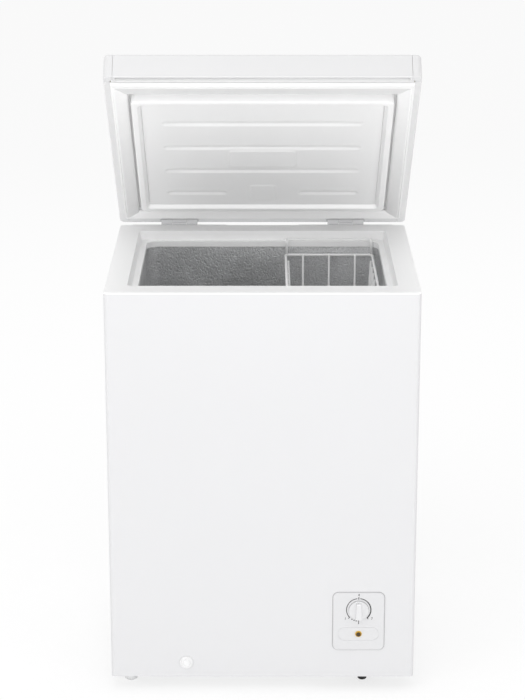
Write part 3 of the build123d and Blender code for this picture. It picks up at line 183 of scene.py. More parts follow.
GROUPS = {
    "freezer_wires": WireSizes,
    "freezer_seal": SealSizes,
    "freezer_liner": LinerSizes,
    "freezer_dial": DialSizes,
    "freezer_colours": Colours,
    "freezer_stage": StageSizes,
}


# -------------------- shader sums
class Value:
    """One output of a shader node. Sums of values become Math nodes."""

    def __init__(self, finish, socket):
        self.finish, self.socket = finish, socket

    def __getitem__(self, output):
        return Value(self.finish, self.socket.node.outputs[output])

    def maths(self, operation, first, second):
        return self.finish.add("ShaderNodeMath", {"operation": operation}, {0: first, 1: second})

    def __add__(self, other):
        return self.maths("ADD", self, other)

    def __sub__(self, other):
        return self.maths("SUBTRACT", self, other)

    def __rsub__(self, other):
        return self.maths("SUBTRACT", other, self)

    def __mul__(self, other):
        return self.maths("MULTIPLY", self, other)

    def __truediv__(self, other):
        return self.maths("DIVIDE", self, other)

    __radd__ = __add__
    __rmul__ = __mul__


class Nodes:
    """A node tree that is being filled."""

    def __init__(self, tree):
        self.tree = tree
        self.tree.nodes.clear()

    def add(self, kind, settings=None, sockets=None):
        """A node of one kind: its settings are set first, then its sockets' values or links."""
        node = self.tree.nodes.new(kind)
        for name, value in (settings or {}).items():
            setattr(node, name, value)
        for name, value in (sockets or {}).items():
            if isinstance(value, Value):
                self.tree.links.new(value.socket, node.inputs[name])
            else:
                node.inputs[name].default_value = value
        return Value(self, node.outputs[0]) if node.outputs else node

    def seen(self):
        """1 for a ray from the camera, a mirror or glass, and 0 for light."""
        path = self.add("ShaderNodeLightPath")
        shown = path["Is Camera Ray"]
        for ray in ("Is Glossy Ray", "Is Transmission Ray"):
            shown = self.add("ShaderNodeMath", {"operation": "MAXIMUM"}, {0: shown, 1: path[ray]})
        return shown


class Finish(Nodes):
    """A material on its way: its node tree and its Principled shader."""

    def __init__(self, name):
        self.material = bpy.data.materials.new(name)
        self.material.use_nodes = True
        super().__init__(self.material.node_tree)
        self.place = self.add("ShaderNodeTexCoord")["Object"]

    def noise(self, scale, detail=2.0, roughness=0.5, place=None):
        sockets = {"Vector": place or self.place, "Scale": scale, "Detail": detail}
        return self.add("ShaderNodeTexNoise", None, sockets | {"Roughness": roughness})

    def cells(self, scale, smoothness, place=None):
        """Rounded cells: 0 in their middles and more towards their edges."""
        sockets = {"Vector": place or self.place, "Scale": scale, "Smoothness": smoothness}
        return self.add("ShaderNodeTexVoronoi", {"feature": "SMOOTH_F1"}, sockets)

    def stretched(self, x, y, z):
        """The object's own place, with each direction multiplied."""
        return self.add("ShaderNodeVectorMath", {"operation": "MULTIPLY"}, {0: self.place, 1: (x, y, z)})

    def step(self, value, low, high):
        """0 below the low edge, 1 above the high edge and smooth between them."""
        settings = {"interpolation_type": "SMOOTHSTEP"}
        return self.add("ShaderNodeMapRange", settings, {"Value": value, "From Min": low, "From Max": high})

    def mixed(self, factor, first, second):
        """A colour between two colours."""
        ends = [end if isinstance(end, Value) else (*end[:3], 1.0) for end in (first, second)]
        mix = self.add("ShaderNodeMix", {"data_type": "RGBA"}, {0: factor, 6: ends[0], 7: ends[1]})
        return mix[2]

    def shade(self, colour, amount, pattern):
        """A colour made darker by up to an amount where a pattern is 0."""
        return self.mixed(pattern, toned(colour, 1 - amount), colour)

    def bump(self, height, distance, strength):
        sockets = {"Height": height, "Distance": distance, "Strength": strength}
        return self.add("ShaderNodeBump", None, sockets)

    def convex_edges(self, distance):
        """1 on a convex edge and 0 on the flat, from two looks at the surface's own direction."""
        bevel = self.add("ShaderNodeBevel", {"samples": 4}, {"Radius": distance})
        plain = self.add("ShaderNodeNewGeometry")["Normal"]
        turn = self.add("ShaderNodeVectorMath", {"operation": "DOT_PRODUCT"}, {0: bevel, 1: plain})["Value"]
        return self.step(1 - turn, 0.01, 0.2)

    def done(self, colours, roughness, normal=None, metallic=0.0):
        """Links the Principled shader and returns the material."""
        sockets = {"Base Color": colours, "Roughness": roughness, "Metallic": metallic}
        if normal is not None:
            sockets["Normal"] = normal
        shader = self.add("ShaderNodeBsdfPrincipled", None, sockets)
        self.add("ShaderNodeOutputMaterial", None, {"Surface": shader})
        return self.material


def toned(colour, factor=1.0, lift=0.0):
    """A colour made darker or brighter by a factor or by a fixed amount."""
    return [min(1.0, channel * factor + lift) for channel in colour]


# -------------------- finishes
def white_steel(name, colour):
    """Painted sheet: a fine drawn texture across the panel over slow unevenness."""
    f = Finish(name)
    grain = f.noise(1.0, 2.0, 0.55, f.stretched(260.0, 260.0, 2100.0))
    peel = f.noise(420.0, 1.0)
    slow = f.noise(2.4, 2.0)
    height = grain * 0.7 + peel * 0.3
    colours = f.shade(colour, 0.012, slow)
    rough = 0.26 + grain * 0.06 + slow * 0.03
    return f.done(colours, rough, f.bump(height, 0.00004, 0.6))


def white_plastic(name, colour):
    """Injection-moulded trim with a fine spark-eroded grain."""
    f = Finish(name)
    grain = f.cells(1400.0, 0.6)
    slow = f.noise(5.0, 3.0)
    colours = f.shade(colour, 0.02, slow)
    rough = 0.36 + slow * 0.06
    return f.done(colours, rough, f.bump(grain, 0.00003, 0.5))


def formed_liner(name, colour):
    """Vacuum-formed sheet: glossier, with slow waves from the mould."""
    f = Finish(name)
    waves = f.noise(16.0, 2.0)
    fine = f.noise(900.0, 1.0)
    rough = 0.27 + waves * 0.05
    colours = f.shade(colour, 0.008, waves)
    return f.done(colours, rough, f.bump(fine, 0.00002, 0.3))


def white_rubber(name, colour):
    """Soft vinyl of the seal: dull, with faint extrusion streaks and a trace of dust."""
    f = Finish(name)
    streaks = f.noise(1.0, 2.0, 0.5, f.stretched(30.0, 700.0, 700.0))
    dust = f.noise(60.0, 4.0, 0.6)
    colours = f.shade(colour, 0.035, dust)
    rough = 0.5 + streaks * 0.12
    return f.done(colours, rough, f.bump(streaks, 0.00006, 0.5))


def embossed_aluminium(name, colour):
    """Stucco-embossed sheet: raised dimples of uneven size, with a cold mottled shine, the mottle painted sheen in
    its colour.
    """
    f = Finish(name)
    bent = f.noise(90.0, 2.0)["Color"]
    place = f.add("ShaderNodeMix", {"data_type": "VECTOR"}, {0: 0.012, 4: f.place, 5: bent})[1]
    dimples = f.cells(210.0, 0.55, place)
    ridges = f.noise(330.0, 3.0, 0.6)
    patches = f.noise(9.0, 3.0, 0.6)
    height = f.step(dimples, 0.1, 0.62) * 0.7 + ridges * 0.3
    # painted sheen: the colour is lighter on the ridges that the bump raises and in slow patches, darker between
    # them
    mottle = f.step(patches * 0.5 + ridges * 0.5, 0.3, 0.7)
    colours = f.mixed(mottle, toned(colour, 0.76), toned(colour, 1.2))
    rough = 0.42 + patches * 0.1
    return f.done(colours, rough, f.bump(height, 0.0007, 0.7), metallic=0.75)


def galvanised_steel(name, colour):
    """Hot-dipped sheet with its spangle: flat crystals of different shine."""
    f = Finish(name)
    crystals = {"Vector": f.place, "Scale": 95.0, "Randomness": 1.0}
    spangle = f.add("ShaderNodeTexVoronoi", None, crystals)["Color"]
    tone = f.add("ShaderNodeSeparateColor", None, {"Color": spangle})
    streak = f.noise(1.0, 3.0, 0.5, f.stretched(40.0, 40.0, 6.0))
    mottle = tone * 0.65 + streak * 0.35
    colours = f.mixed(mottle, toned(colour, 0.78), colour)
    rough = 0.34 + tone * 0.2
    return f.done(colours, rough, f.bump(tone, 0.00005, 0.5), metallic=0.9)


def plain_plastic(name, colour, gloss, wear):
    """Moulded plastic with a fine grain and edges rubbed a little paler."""
    f = Finish(name)
    grain = f.noise(1300.0, 2.0)
    slow = f.noise(20.0, 3.0)
    pale_edges = f.convex_edges(0.0007) * wear
    colours = f.mixed(pale_edges, f.shade(colour, 0.08, slow), toned(colour, lift=0.18))
    rough = gloss + slow * 0.1
    return f.done(colours, rough, f.bump(grain, 0.00003, 0.5))


def silver_plastic(name, colour):
    """The knob: metallic lacquer with fine flake, its edges brighter with a painted highlight."""
    f = Finish(name)
    flake = f.noise(2600.0, 1.0)
    pale_edges = f.convex_edges(0.0006)
    # painted highlight: the knob's edges are mixed towards near-white, as if they caught the light
    colours = f.mixed(pale_edges * 0.6, f.shade(colour, 0.07, flake), (0.93, 0.93, 0.93))
    rough = 0.27 + flake * 0.1
    return f.done(colours, rough, f.bump(flake, 0.00001, 0.4), metallic=0.45)


def amber_lens(name, colour):
    """The lamp: a golden rim round a centre of painted shade, the lamp's dark inside seen through the lens;
    moulded with rings behind the face.
    """
    f = Finish(name)
    low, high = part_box("lamp_lens")
    middle = (low + high) / 2
    centre = (middle.x, 0.0, middle.z)
    offset = f.add("ShaderNodeVectorMath", {"operation": "SUBTRACT"}, {0: f.place, 1: centre})
    flat = f.add("ShaderNodeVectorMath", {"operation": "MULTIPLY"}, {0: offset, 1: (1.0, 0.0, 1.0)})
    reach = f.add("ShaderNodeVectorMath", {"operation": "LENGTH"}, {0: flat})["Value"]
    radius = reach / ((high.x - low.x) / 2)
    rings = f.add("ShaderNodeMath", {"operation": "SINE"}, {0: radius * 42.0})
    rim = f.step(radius, 0.6, 0.86)
    # the centre's dark brown is painted shade, the lamp's unlit inside seen through the lens; the rim keeps the
    # lens's amber
    colours = f.mixed(rim, (0.05, 0.026, 0.003), colour)
    return f.done(colours, 0.3, f.bump(rings, 0.00006, 0.4))


def insulating_foam(name, colour):
    """Cut polyurethane foam with open cells."""
    f = Finish(name)
    cells = f.cells(520.0, 0.3)
    slow = f.noise(14.0, 4.0)
    # painted shade: the colour is darker in the middle of each cell, the hollow of an open pore, over a slow
    # uneven tone
    colours = f.shade(colour, 0.25, slow * 0.5 + cells)
    return f.done(colours, 0.9, f.bump(cells, 0.0006, 0.8))


def rubber(name, colour):
    """Black rubber with bloom in its pores."""
    f = Finish(name)
    bloom = f.noise(45.0, 5.0, 0.65)
    pores = f.noise(800.0, 2.0)
    colours = f.mixed(f.step(bloom, 0.45, 0.8), colour, toned(colour, lift=0.07))
    return f.done(colours, 0.72 + bloom * 0.15, f.bump(pores, 0.0001, 0.6))


def enamel(name, colour, gloss):
    """Dipped enamel: thick, with slow runs, small specks of dust and thinner on its edges."""
    f = Finish(name)
    runs = f.noise(1.0, 2.0, 0.5, f.stretched(60.0, 60.0, 14.0))
    specks = f.noise(900.0, 2.0)
    pale_edges = f.convex_edges(0.0012)
    colours = f.mixed(pale_edges * 0.35, f.shade(colour, 0.2, runs), toned(colour, lift=0.1))
    rough = gloss + runs * 0.12
    return f.done(colours, rough, f.bump(runs + specks * 0.2, 0.00015, 0.5))


def cast_iron(name, colour):
    """Raw iron of the motor: sand-cast skin with rust in its hollows."""
    f = Finish(name)
    sand = f.noise(700.0, 4.0, 0.7)
    rust = f.step(f.noise(40.0, 5.0, 0.7), 0.52, 0.7)
    colours = f.mixed(rust, colour, (0.19, 0.07, 0.03))
    return f.done(colours, 0.6 + sand * 0.2, f.bump(sand, 0.0003, 0.7), metallic=0.6)


def copper(name, colour):
    """Drawn copper pipe, tarnished in patches and streaked along its length."""
    f = Finish(name)
    drawn = f.noise(1.0, 2.0, 0.5, f.stretched(900.0, 900.0, 80.0))
    tarnish = f.step(f.noise(35.0, 5.0, 0.65), 0.42, 0.68)
    colours = f.mixed(tarnish, colour, (0.27, 0.12, 0.07))
    rough = 0.22 + tarnish * 0.25
    return f.done(colours, rough, f.bump(drawn, 0.00004, 0.5), metallic=1.0)


def coated_wire(name, colour):
    """Wire under a thick white plastic dip, with slow swells along it."""
    f = Finish(name)
    swells = f.noise(110.0, 2.0)
    fine = f.noise(1500.0, 1.0)
    colours = f.shade(colour, 0.03, swells)
    return f.done(colours, 0.27 + swells * 0.08, f.bump(swells + fine * 0.1, 0.00018, 0.4))


def ink(name, colour):
    """Screen print on the panel: matt and a little uneven."""
    f = Finish(name)
    patchy = f.noise(1600.0, 2.0)
    colours = f.mixed(patchy * 0.25, colour, (0.1, 0.1, 0.1))
    return f.done(colours, 0.45 + patchy * 0.2)


def zinc(name, colour):
    """Bright zinc of a small screw, turned and a little yellow."""
    f = Finish(name)
    fine = f.noise(2200.0, 3.0)
    colours = f.shade(colour, 0.15, fine)
    return f.done(colours, 0.28 + fine * 0.15, f.bump(fine, 0.00003, 0.5), metallic=1.0)


def make_finishes(colours):
    """The record's material slots, each with its finish."""
    return {
        "white_steel": white_steel("painted_steel", colours.steel),
        "galvanised_steel": galvanised_steel("galvanised_sheet", (0.62, 0.63, 0.64)),
        "white_plastic": white_plastic("moulded_trim", colours.plastic),
        "silver_plastic": silver_plastic("silver_lacquer", (0.78, 0.78, 0.79)),
        "grey_plastic": plain_plastic("grey_moulding", (0.42, 0.43, 0.44), 0.42, 0.2),
        "black_plastic": plain_plastic("black_moulding", (0.02, 0.02, 0.021), 0.4, 0.3),
        "amber_plastic": amber_lens("lamp_amber", (0.62, 0.36, 0.02)),
        "embossed_aluminium": embossed_aluminium("stucco_aluminium", colours.aluminium),
        "foam": insulating_foam("cut_foam", (0.78, 0.71, 0.48)),
        "white_rubber": white_rubber("seal_vinyl", colours.seal),
        "black_rubber": rubber("black_rubber", (0.018, 0.018, 0.018)),
        "black_steel": enamel("black_enamel", (0.012, 0.012, 0.014), 0.2),
        "motor_iron": cast_iron("raw_iron", (0.2, 0.19, 0.18)),
        "copper": copper("copper_pipe", (0.83, 0.44, 0.28)),
        "condenser_steel": enamel("dull_enamel", (0.02, 0.02, 0.021), 0.42),
        "coated_wire": coated_wire("dipped_wire", (0.94, 0.94, 0.94)),
    }


FINISHES = {}


# -------------------- mesh helpers
def add_piece(name, points, faces, slot, body, replaced=(), finish=None, smooth=True):
    """A mesh of points and faces that rides on a body and takes its finish from a slot."""
    mesh = bpy.data.meshes.new(name)
    mesh.from_pydata([tuple(point) for point in points], [], faces)
    mesh.validate()
    mesh.update()
    mesh.polygons.foreach_set("use_smooth", [smooth] * len(mesh.polygons))
    piece = bpy.data.objects.new(name, mesh)
    bpy.context.scene.collection.objects.link(piece)
    mesh.materials.append(finish or FINISHES[slot])
    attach(piece, body)
    if replaced:
        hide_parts(*replaced)
    return piece


def rings_to_faces(rings, around, closed_ends=False, loop=False):
    """The faces of a skin over rings of points that follow each other."""
    faces = []
    for ring in range(rings if loop else rings - 1):
        here, there = ring * around, (ring + 1) % rings * around
        for i in range(around):
            j = (i + 1) % around
            faces.append((here + i, here + j, there + j, there + i))
    if closed_ends:
        last = (rings - 1) * around
        faces.append(tuple(reversed(range(around))))
        faces.append(tuple(last + i for i in range(around)))
    return faces


def bent_path(corners, radius, steps=7):
    """Straight runs between corners, each inner corner turned into an arc of one radius."""
    corners = [Vector(corner) for corner in corners]
    path = [corners[0]]
    for before, corner, after in zip(corners, corners[1:], corners[2:]):
        come, leave = (before - corner).normalized(), (after - corner).normalized()
        half = come.angle(leave) / 2
        centre = corner + (come + leave).normalized() * (radius / sin(half))
        first, last = corner + come * (radius / tan(half)), corner + leave * (radius / tan(half))
        for i in range(steps + 1):
            spoke = (first - centre).normalized().slerp((last - centre).normalized(), i / steps)
            path.append(centre + spoke * radius)
    return path + [corners[-1]]


def circle(centre, side, other, around):
    """Points round a centre, from two spokes at a right angle."""
    turns = [2 * pi * k / around for k in range(around)]
    return [centre + side * cos(turn) + other * sin(turn) for turn in turns]


def wire(path, radius, around=12, loop=False):
    """Points and faces of a round wire along a path, its section carried along without a twist."""
    points = []
    side = None
    count = len(path)
    for i, point in enumerate(path):
        before = path[i - 1] if i or loop else point
        after = path[(i + 1) % count] if i < count - 1 or loop else point
        along = (after - before).normalized()
        if side is None:
            side = along.orthogonal().normalized()
        side = (side - along * side.dot(along)).normalized()
        other = along.cross(side)
        points += circle(point, side * radius, other * radius, around)
    return points, rings_to_faces(count, around, not loop, loop)


def joined(parts):
    """Several pairs of points and faces as one pair."""
    points, faces = [], []
    for more_points, more_faces in parts:
        start = len(points)
        points += more_points
        faces += [tuple(start + i for i in face) for face in more_faces]
    return points, faces


def rounded_outline(half_x, half_z, corner, steps=8):
    """Points of a rounded rectangle round the origin, turning one way."""
    outline = []
    for index, (sign_x, sign_z) in enumerate(((1, 1), (-1, 1), (-1, -1), (1, -1))):
        for i in range(steps + 1):
            turn = pi / 2 * (index + i / steps)
            x = sign_x * (half_x - corner) + cos(turn) * corner
            outline.append((x, sign_z * (half_z - corner) + sin(turn) * corner))
    return outline


def rounded_plate(low, high, corner, bevel):
    """A plate that lies across the depth between two corners, rounded and with eased edges."""
    middle, half = (low + high) / 2, (high - low) / 2
    points = []
    for depth, inset in ((low.y, bevel), (low.y + bevel, 0.0), (high.y - bevel, 0.0), (high.y, bevel)):
        outline = rounded_outline(half.x - inset, half.z - inset, corner - inset)
        points += [Vector((middle.x + x, depth, middle.z + z)) for x, z in outline]
    return points, rings_to_faces(4, len(points) // 4, closed_ends=True)


def smoothstep(low, high, value):
    """0 below the low edge, 1 above the high edge and smooth between them."""
    share = min(1.0, max(0.0, (value - low) / (high - low)))
    return share * share * (3 - 2 * share)


# -------------------- basket
def basket_wires(sizes):
    """The basket's four groups of wires, each as (name, node it stands for, points and faces)."""
    rail_low, rail_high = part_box("basket_rail")
    hang_low, hang_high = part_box("basket_hangers")
    cross_low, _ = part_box("basket_cross_wires")
    long_low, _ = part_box("basket_long_wires")
    left, right = rail_low.x + sizes.rail, rail_high.x - sizes.rail
    near, far = rail_low.y + sizes.rail, rail_high.y - sizes.rail
    level = (rail_low.z + rail_high.z) / 2
    top = hang_high.z - sizes.rail
    middle = (left + right) / 2
    corners = [(middle, near), (right, near), (right, far), (left, far), (left, near), (middle, near)]
    loop = bent_path([(x, y, level) for x, y in corners], sizes.rail_bend)[:-1]
    rail = wire(loop, sizes.rail, 14, loop=True)

    hangers = []
    for bar, leg in ((hang_low.y + sizes.rail, near), (hang_high.y - sizes.rail, far)):
        ends = (left + sizes.inset, right - sizes.inset)
        foot = level + sizes.rail - sizes.weld
        run = [(ends[0], leg, foot), (ends[0], leg, top), (ends[0], bar, top)]
        run += [(ends[1], bar, top), (ends[1], leg, top), (ends[1], leg, foot)]
        bend = min(sizes.hanger_bend, abs(bar - leg) * 0.48)  # two bends fit between leg and bar
        hangers.append(wire(bent_path(run, bend), sizes.rail, 14))

    hold = sizes.rail + sizes.thin - sizes.weld

    def hoop(first, second, floor, across):
        """A thin wire from one side of the rail down, along the floor and up to the other side."""
        run = [(first + hold, level), (first + hold + sizes.taper, floor)]
        run += [(second - hold - sizes.taper, floor), (second - hold, level)]
        return wire(bent_path([across(place, z) for place, z in run], sizes.thin_bend), sizes.thin)

    crosses = []
    for i in range(sizes.crosses):
        y = near + (far - near) * (i + 1) / (sizes.crosses + 1)
        crosses.append(hoop(left, right, cross_low.z + sizes.thin, lambda x, z: (x, y, z)))
    longs = []
    for share in (0.2, 0.5, 0.8):
        x = left + (right - left) * share
        longs.append(hoop(near, far, long_low.z + sizes.thin, lambda y, z: (x, y, z)))

    return [
        ("rail_wire", "basket_rail", rail),
        ("hanger_wires", "basket_hangers", joined(hangers)),
        ("cross_wires", "basket_cross_wires", joined(crosses)),
        ("long_wires", "basket_long_wires", joined(longs)),
    ]


class FREEZER_OT_basket(bpy.types.Operator):
    """Bends the basket's coated wires"""

    bl_idname = "freezer.basket"
    bl_label = "Basket wires"

    def execute(self, context):
        for name, node, (points, faces) in basket_wires(context.scene.freezer_wires):
            add_piece(name, points, faces, "coated_wire", "basket", [node])
        return {"FINISHED"}


# -------------------- seal
def seal_profile(width, height, sizes):
    """The seal's section from its outer foot to its inner foot: (distance in, height above the foot)."""
    lip, skin = sizes.lip, sizes.skin
    return [
        (1.2 * MM, 0.0),
        (1.2 * MM, height * 0.16),
        (2.2 * MM, height * 0.2),
        (2.2 * MM, height * 0.36),
        (0.2 * MM, height * 0.42),
        (0.0, height * 0.58),
        (0.5 * MM, height * 0.7),
        (lip * 0.6, height * 0.84),
        (lip, height * 0.92),
        (lip + 1.1 * MM, height * 0.89),
        (lip + 2.3 * MM, height * 0.9),
        (lip + 3.2 * MM, height * 0.965),
        (lip + 4.4 * MM, height),
        (lip + 6.4 * MM, height * 0.99),
        (width * 0.62, height * 0.955),
        (width * 0.86, height * 0.93),
        (width - 2.2 * MM, height * 0.88),
        (width - 0.8 * MM, height * 0.76),
        (width - 0.4 * MM, height * 0.58),
        (width - 2.6 * MM, height * 0.46),
        (width - 2.6 * MM, height * 0.3),
        (width - 0.4 * MM, height * 0.22),
        (width - 0.4 * MM, skin),
        (width - 0.4 * MM, 0.0),
    ]


def eased_profile(profile, rounds=2):
    """A section whose corners are cut twice, so that it turns softly."""
    for _ in range(rounds):
        finer = [profile[0]]
        for (x1, y1), (x2, y2) in zip(profile, profile[1:]):
            finer.append((x1 * 0.75 + x2 * 0.25, y1 * 0.75 + y2 * 0.25))
            finer.append((x1 * 0.25 + x2 * 0.75, y1 * 0.25 + y2 * 0.75))
        profile = finer + [profile[-1]]
    return profile


def seal_mesh(sizes):
    """The seal swept round its four sides, with a welded line at each mitred corner."""
    low, high = node_box("lid_gasket", LID)
    inner_low, inner_high = node_box("gasket_magnet", LID)
    foot, height = high.z, high.z - low.z
    magnet_width = inner_high.x - min(abs(point.x) for point in node_points("gasket_magnet", LID))
    width = 2 * (inner_low.x - low.x) + magnet_width
    weld_foot = height * 0.3  # the welded line starts above the part that the lid holds
    profile = eased_profile(seal_profile(width, height, sizes))
    corners = [(low.x, low.y, 1, 1), (high.x, low.y, -1, 1), (high.x, high.y, -1, -1), (low.x, high.y, 1, -1)]
    stations = []
    for index, (x, y, inward_x, inward_y) in enumerate(corners):
        # the seal comes in along one side and leaves along the next, with the weld between them
        sides = [(0, inward_y), (inward_x, 0)]
        come, leave = sides if index % 2 == 0 else reversed(sides)
        for along, dip in ((come, 0.0), ((0, 0), sizes.weld_dip), (leave, 0.0)):
            away = sizes.weld_gap / 2
            stations.append((x + along[0] * away, y + along[1] * away, inward_x, inward_y, dip))
    points = []
    for x, y, inward_x, inward_y, dip in stations:
        for inset, up in profile:
            depth = max(0.0, up - (dip if up > weld_foot else 0.0))
            points.append(LID @ Vector((x + inward_x * inset, y + inward_y * inset, foot - depth)))
    return points, rings_to_faces(len(stations), len(profile), loop=True)


class FREEZER_OT_seal(bpy.types.Operator):
    """Sweeps the seal's section round the lid"""

    bl_idname = "freezer.seal"
    bl_label = "Lid seal"

    def execute(self, context):
        points, faces = seal_mesh(context.scene.freezer_seal)
        add_piece("seal_with_lip", points, faces, "white_rubber", "lid", ["lid_gasket"])
        return {"FINISHED"}


# -------------------- lid liner
def groove_shape(x, y, length, width):
    """1 in the middle of a groove with rounded ends and 0 outside it."""
    beyond = max(0.0, abs(x) - (length - width) / 2)
    taper = 1 - smoothstep(length * 0.36, length * 0.5, abs(x)) * 0.45
    return (1 - smoothstep(0.15, 1.0, hypot(beyond, y) / (width / 2))) * taper


def pad_shape(x, y, width, depth, corner, edge):
    """1 on a rounded pad, falling to 0 over its edge."""
    dx, dy = abs(x) - (width / 2 - corner), abs(y) - (depth / 2 - corner)
    outside = hypot(max(dx, 0.0), max(dy, 0.0)) + min(max(dx, dy), 0.0) - corner
    return 1 - smoothstep(-edge, 0.0, outside)


def spaced(half, step, edge, fine):
    """Places from -half to half, close together near both ends."""
    inside = half - edge
    count = max(2, round(2 * inside / step))
    ends = [half - fine * i for i in range(round(edge / fine))]
    between = [-inside + 2 * inside * i / count for i in range(count + 1)]
    return sorted([-end for end in ends] + between + ends)


class FREEZER_OT_liner(bpy.types.Operator):
    """Forms the lid's inner face with its pocket, grooves and pads"""

    bl_idname = "freezer.liner"
    bl_label = "Lid liner"

    def execute(self, context):
        points, faces = liner_mesh(context.scene.freezer_liner)
        finish = formed_liner("glossy_liner", context.scene.freezer_colours.liner)
        add_piece("formed_lid_liner", points, faces, "white_plastic", "lid", ["lid_liner"], finish)
        points, faces = groove_plate()
        add_piece("groove_back", [LID @ point for point in points], faces, "white_plastic", "lid")
        return {"FINISHED"}


def groove_plate():
    """The wall behind the finger groove, just in front of the lid's foam."""
    trim, foam = node_box("lid_front_trim", LID)[0], node_box("lid_foam", LID)[0]
    beside, clear, thick = 4 * MM, 0.1 * MM, 0.6 * MM
    low = Vector((trim.x - beside, foam.y - clear - thick, trim.z + 0.6 * MM))
    high = Vector((-low.x, foam.y - clear, trim.z + 11 * MM))
    return rounded_plate(low, high, 2 * MM, 0.2 * MM)


def liner_mesh(sizes):
    """The formed sheet in the lid's own directions: rings over the plug's walls, a field inside."""
    low, _ = node_box("lid_liner", LID)
    face = low.z
    bend, flat = 2.5 * MM, 3.6 * MM  # radius of the plug's edges, and where the flats beside them start
    plug = [point for point in node_points("lid_liner", LID) if point.z < face + 0.5 * MM]
    plug_low, plug_high = corners_of(plug)
    half_x = plug_high.x + bend
    half_y, middle = (plug_high.y - plug_low.y) / 2 + bend, (plug_high.y + plug_low.y) / 2
    lid_front = node_box("lid_front_trim", LID)[0].y
    flange = node_box("lid_gasket", LID)[1].z
    field = face + sizes.pocket
    foot = sizes.border + sizes.slope

    columns, rows = (
        spaced(half - foot, sizes.step, edge=10 * MM, fine=1.25 * MM) for half in (half_x, half_y)
    )
    lines = [lid_front + sizes.groove_first + sizes.groove_pitch * i for i in range(4)]
    grooves = [(0.0, line, sizes.groove_length) for line in lines[:3]]
    grooves += [(side * sizes.split_x, lines[3], sizes.split_length) for side in (-1, 1)]
    groove_blend = sizes.groove_width * 1.35  # a groove with the soft shoulders beside it
    wide_y, small_y = lid_front + sizes.wide_pad_y, lid_front + sizes.small_pad_y
    # width, depth and corner radius of the two pads, and of the clear place round the wide one
    wide_pad, small_pad = (132 * MM, 62 * MM, 9 * MM), (51 * MM, 62 * MM, 8 * MM)
    clear_place, clear_edge = (152 * MM, 80 * MM, 12 * MM), 8 * MM

    def height(x, y):
        """How much deeper than the pocket's floor the sheet lies at a place."""
        deep = max(groove_shape(x - gx, y - gy, length, groove_blend) for gx, gy, length in grooves)
        deep *= 1 - pad_shape(x, y - wide_y, *clear_place, clear_edge)
        wide = pad_shape(x, y - wide_y, *wide_pad, sizes.pad_edge)
        small = pad_shape(x, y - small_y, *small_pad, sizes.pad_edge)
        return deep * sizes.groove_depth - (wide + small) * sizes.pad_rise

    points = [LID @ Vector((x, middle + y, field + height(x, middle + y))) for y in rows for x in columns]
    across, along = len(columns), len(rows)
    faces = [
        (j * across + i, j * across + i + 1, (j + 1) * across + i + 1, (j + 1) * across + i)
        for j in range(along - 1)
        for i in range(across - 1)
    ]

    rim = [(i, 0) for i in range(across)] + [(across - 1, j) for j in range(1, along)]
    rim += [(i, along - 1) for i in range(across - 2, -1, -1)] + [(0, j) for j in range(along - 2, 0, -1)]
    previous = [j * across + i for i, j in rim]
    deep, high, plan = sizes.pocket, flange - face, 10 * MM
    arc = [bend * (1 - cos(pi / 8 * i)) for i in range(5)]
    # each ring's distance in from the plug's edge, its height behind the plug's face and its corner radius
    section = [
        (foot - 0.4 * MM, deep * 0.99, 3.0 * MM),
        (foot - 1.1 * MM, deep * 0.93, 4.0 * MM),
        (foot - 2.2 * MM, deep * 0.78, 5.0 * MM),
        (sizes.border + 1.4 * MM, deep * 0.2, 8.0 * MM),
        (sizes.border + 0.6 * MM, deep * 0.06, 8.5 * MM),
        (sizes.border - 0.4 * MM, 0.0, 9.0 * MM),
        (sizes.border - 1.4 * MM, 0.0, 9.0 * MM),
        (flat, 0.0, plan),
    ]
    section += [(arc[4 - i], arc[i], plan) for i in range(5)]
    section += [(0.0, flat, plan), (0.0, high - flat, plan)]
    section += [(-arc[i], high - arc[4 - i], plan + arc[i]) for i in range(5)]
    section += [(-flat, high, 13.5 * MM), (-26.0 * MM, high, 30.0 * MM)]
    for inset, up, corner in section:
        ring_x, ring_y = half_x - inset, half_y - inset
        centre_x, centre_y = ring_x - corner, ring_y - corner
        ring = []
        for i, j in rim:
            x = columns[i] / columns[-1] * ring_x
            y = rows[j] / rows[-1] * ring_y
            dx, dy = abs(x) - centre_x, abs(y) - centre_y
            if dx > 0 and dy > 0:
                pull = corner / hypot(dx, dy)
                x = copysign(centre_x + dx * pull, x)
                y = copysign(centre_y + dy * pull, y)
            ring.append(len(points))
            points.append(LID @ Vector((x, middle + y, face + up)))
        count = len(ring)
        for k in range(count):
            n = (k + 1) % count
            faces.append((previous[k], previous[n], ring[n], ring[k]))
        previous = ring
    return points, [tuple(reversed(face)) for face in faces]


# -------------------- screws
def screw_head(centre, outward, radius, height, turned):
    """A pan head with a cross recess, standing on a face and looking outward."""
    around, rings = 40, 9
    edge_fall, recess_depth = 0.35, 0.62  # shares of the head's height
    side = Matrix.Rotation(turned, 3, outward) @ outward.orthogonal().normalized()
    other = outward.cross(side)
    points = circle(centre, side * radius, other * radius, around)
    for ring in range(rings):
        share = cos(ring / (rings - 1) * pi / 2 * 0.98)
        for k in range(around):
            turn = 2 * pi * k / around
            x, y = cos(turn) * share, sin(turn) * share
            dome = 1 - edge_fall * share ** 4
            near, far = sorted((abs(x), abs(y)))
            recess = (1 - smoothstep(0.1, 0.19, near)) * (1 - smoothstep(0.42, 0.58, far))
            up = outward * height * (dome - recess * recess_depth)
            points.append(centre + side * x * radius + other * y * radius + up)
    points.append(centre + outward * height * 0.36)
    faces = rings_to_faces(rings + 1, around)
    last = rings * around
    faces += [(last + k, last + (k + 1) % around, len(points) - 1) for k in range(around)]
    return points, faces


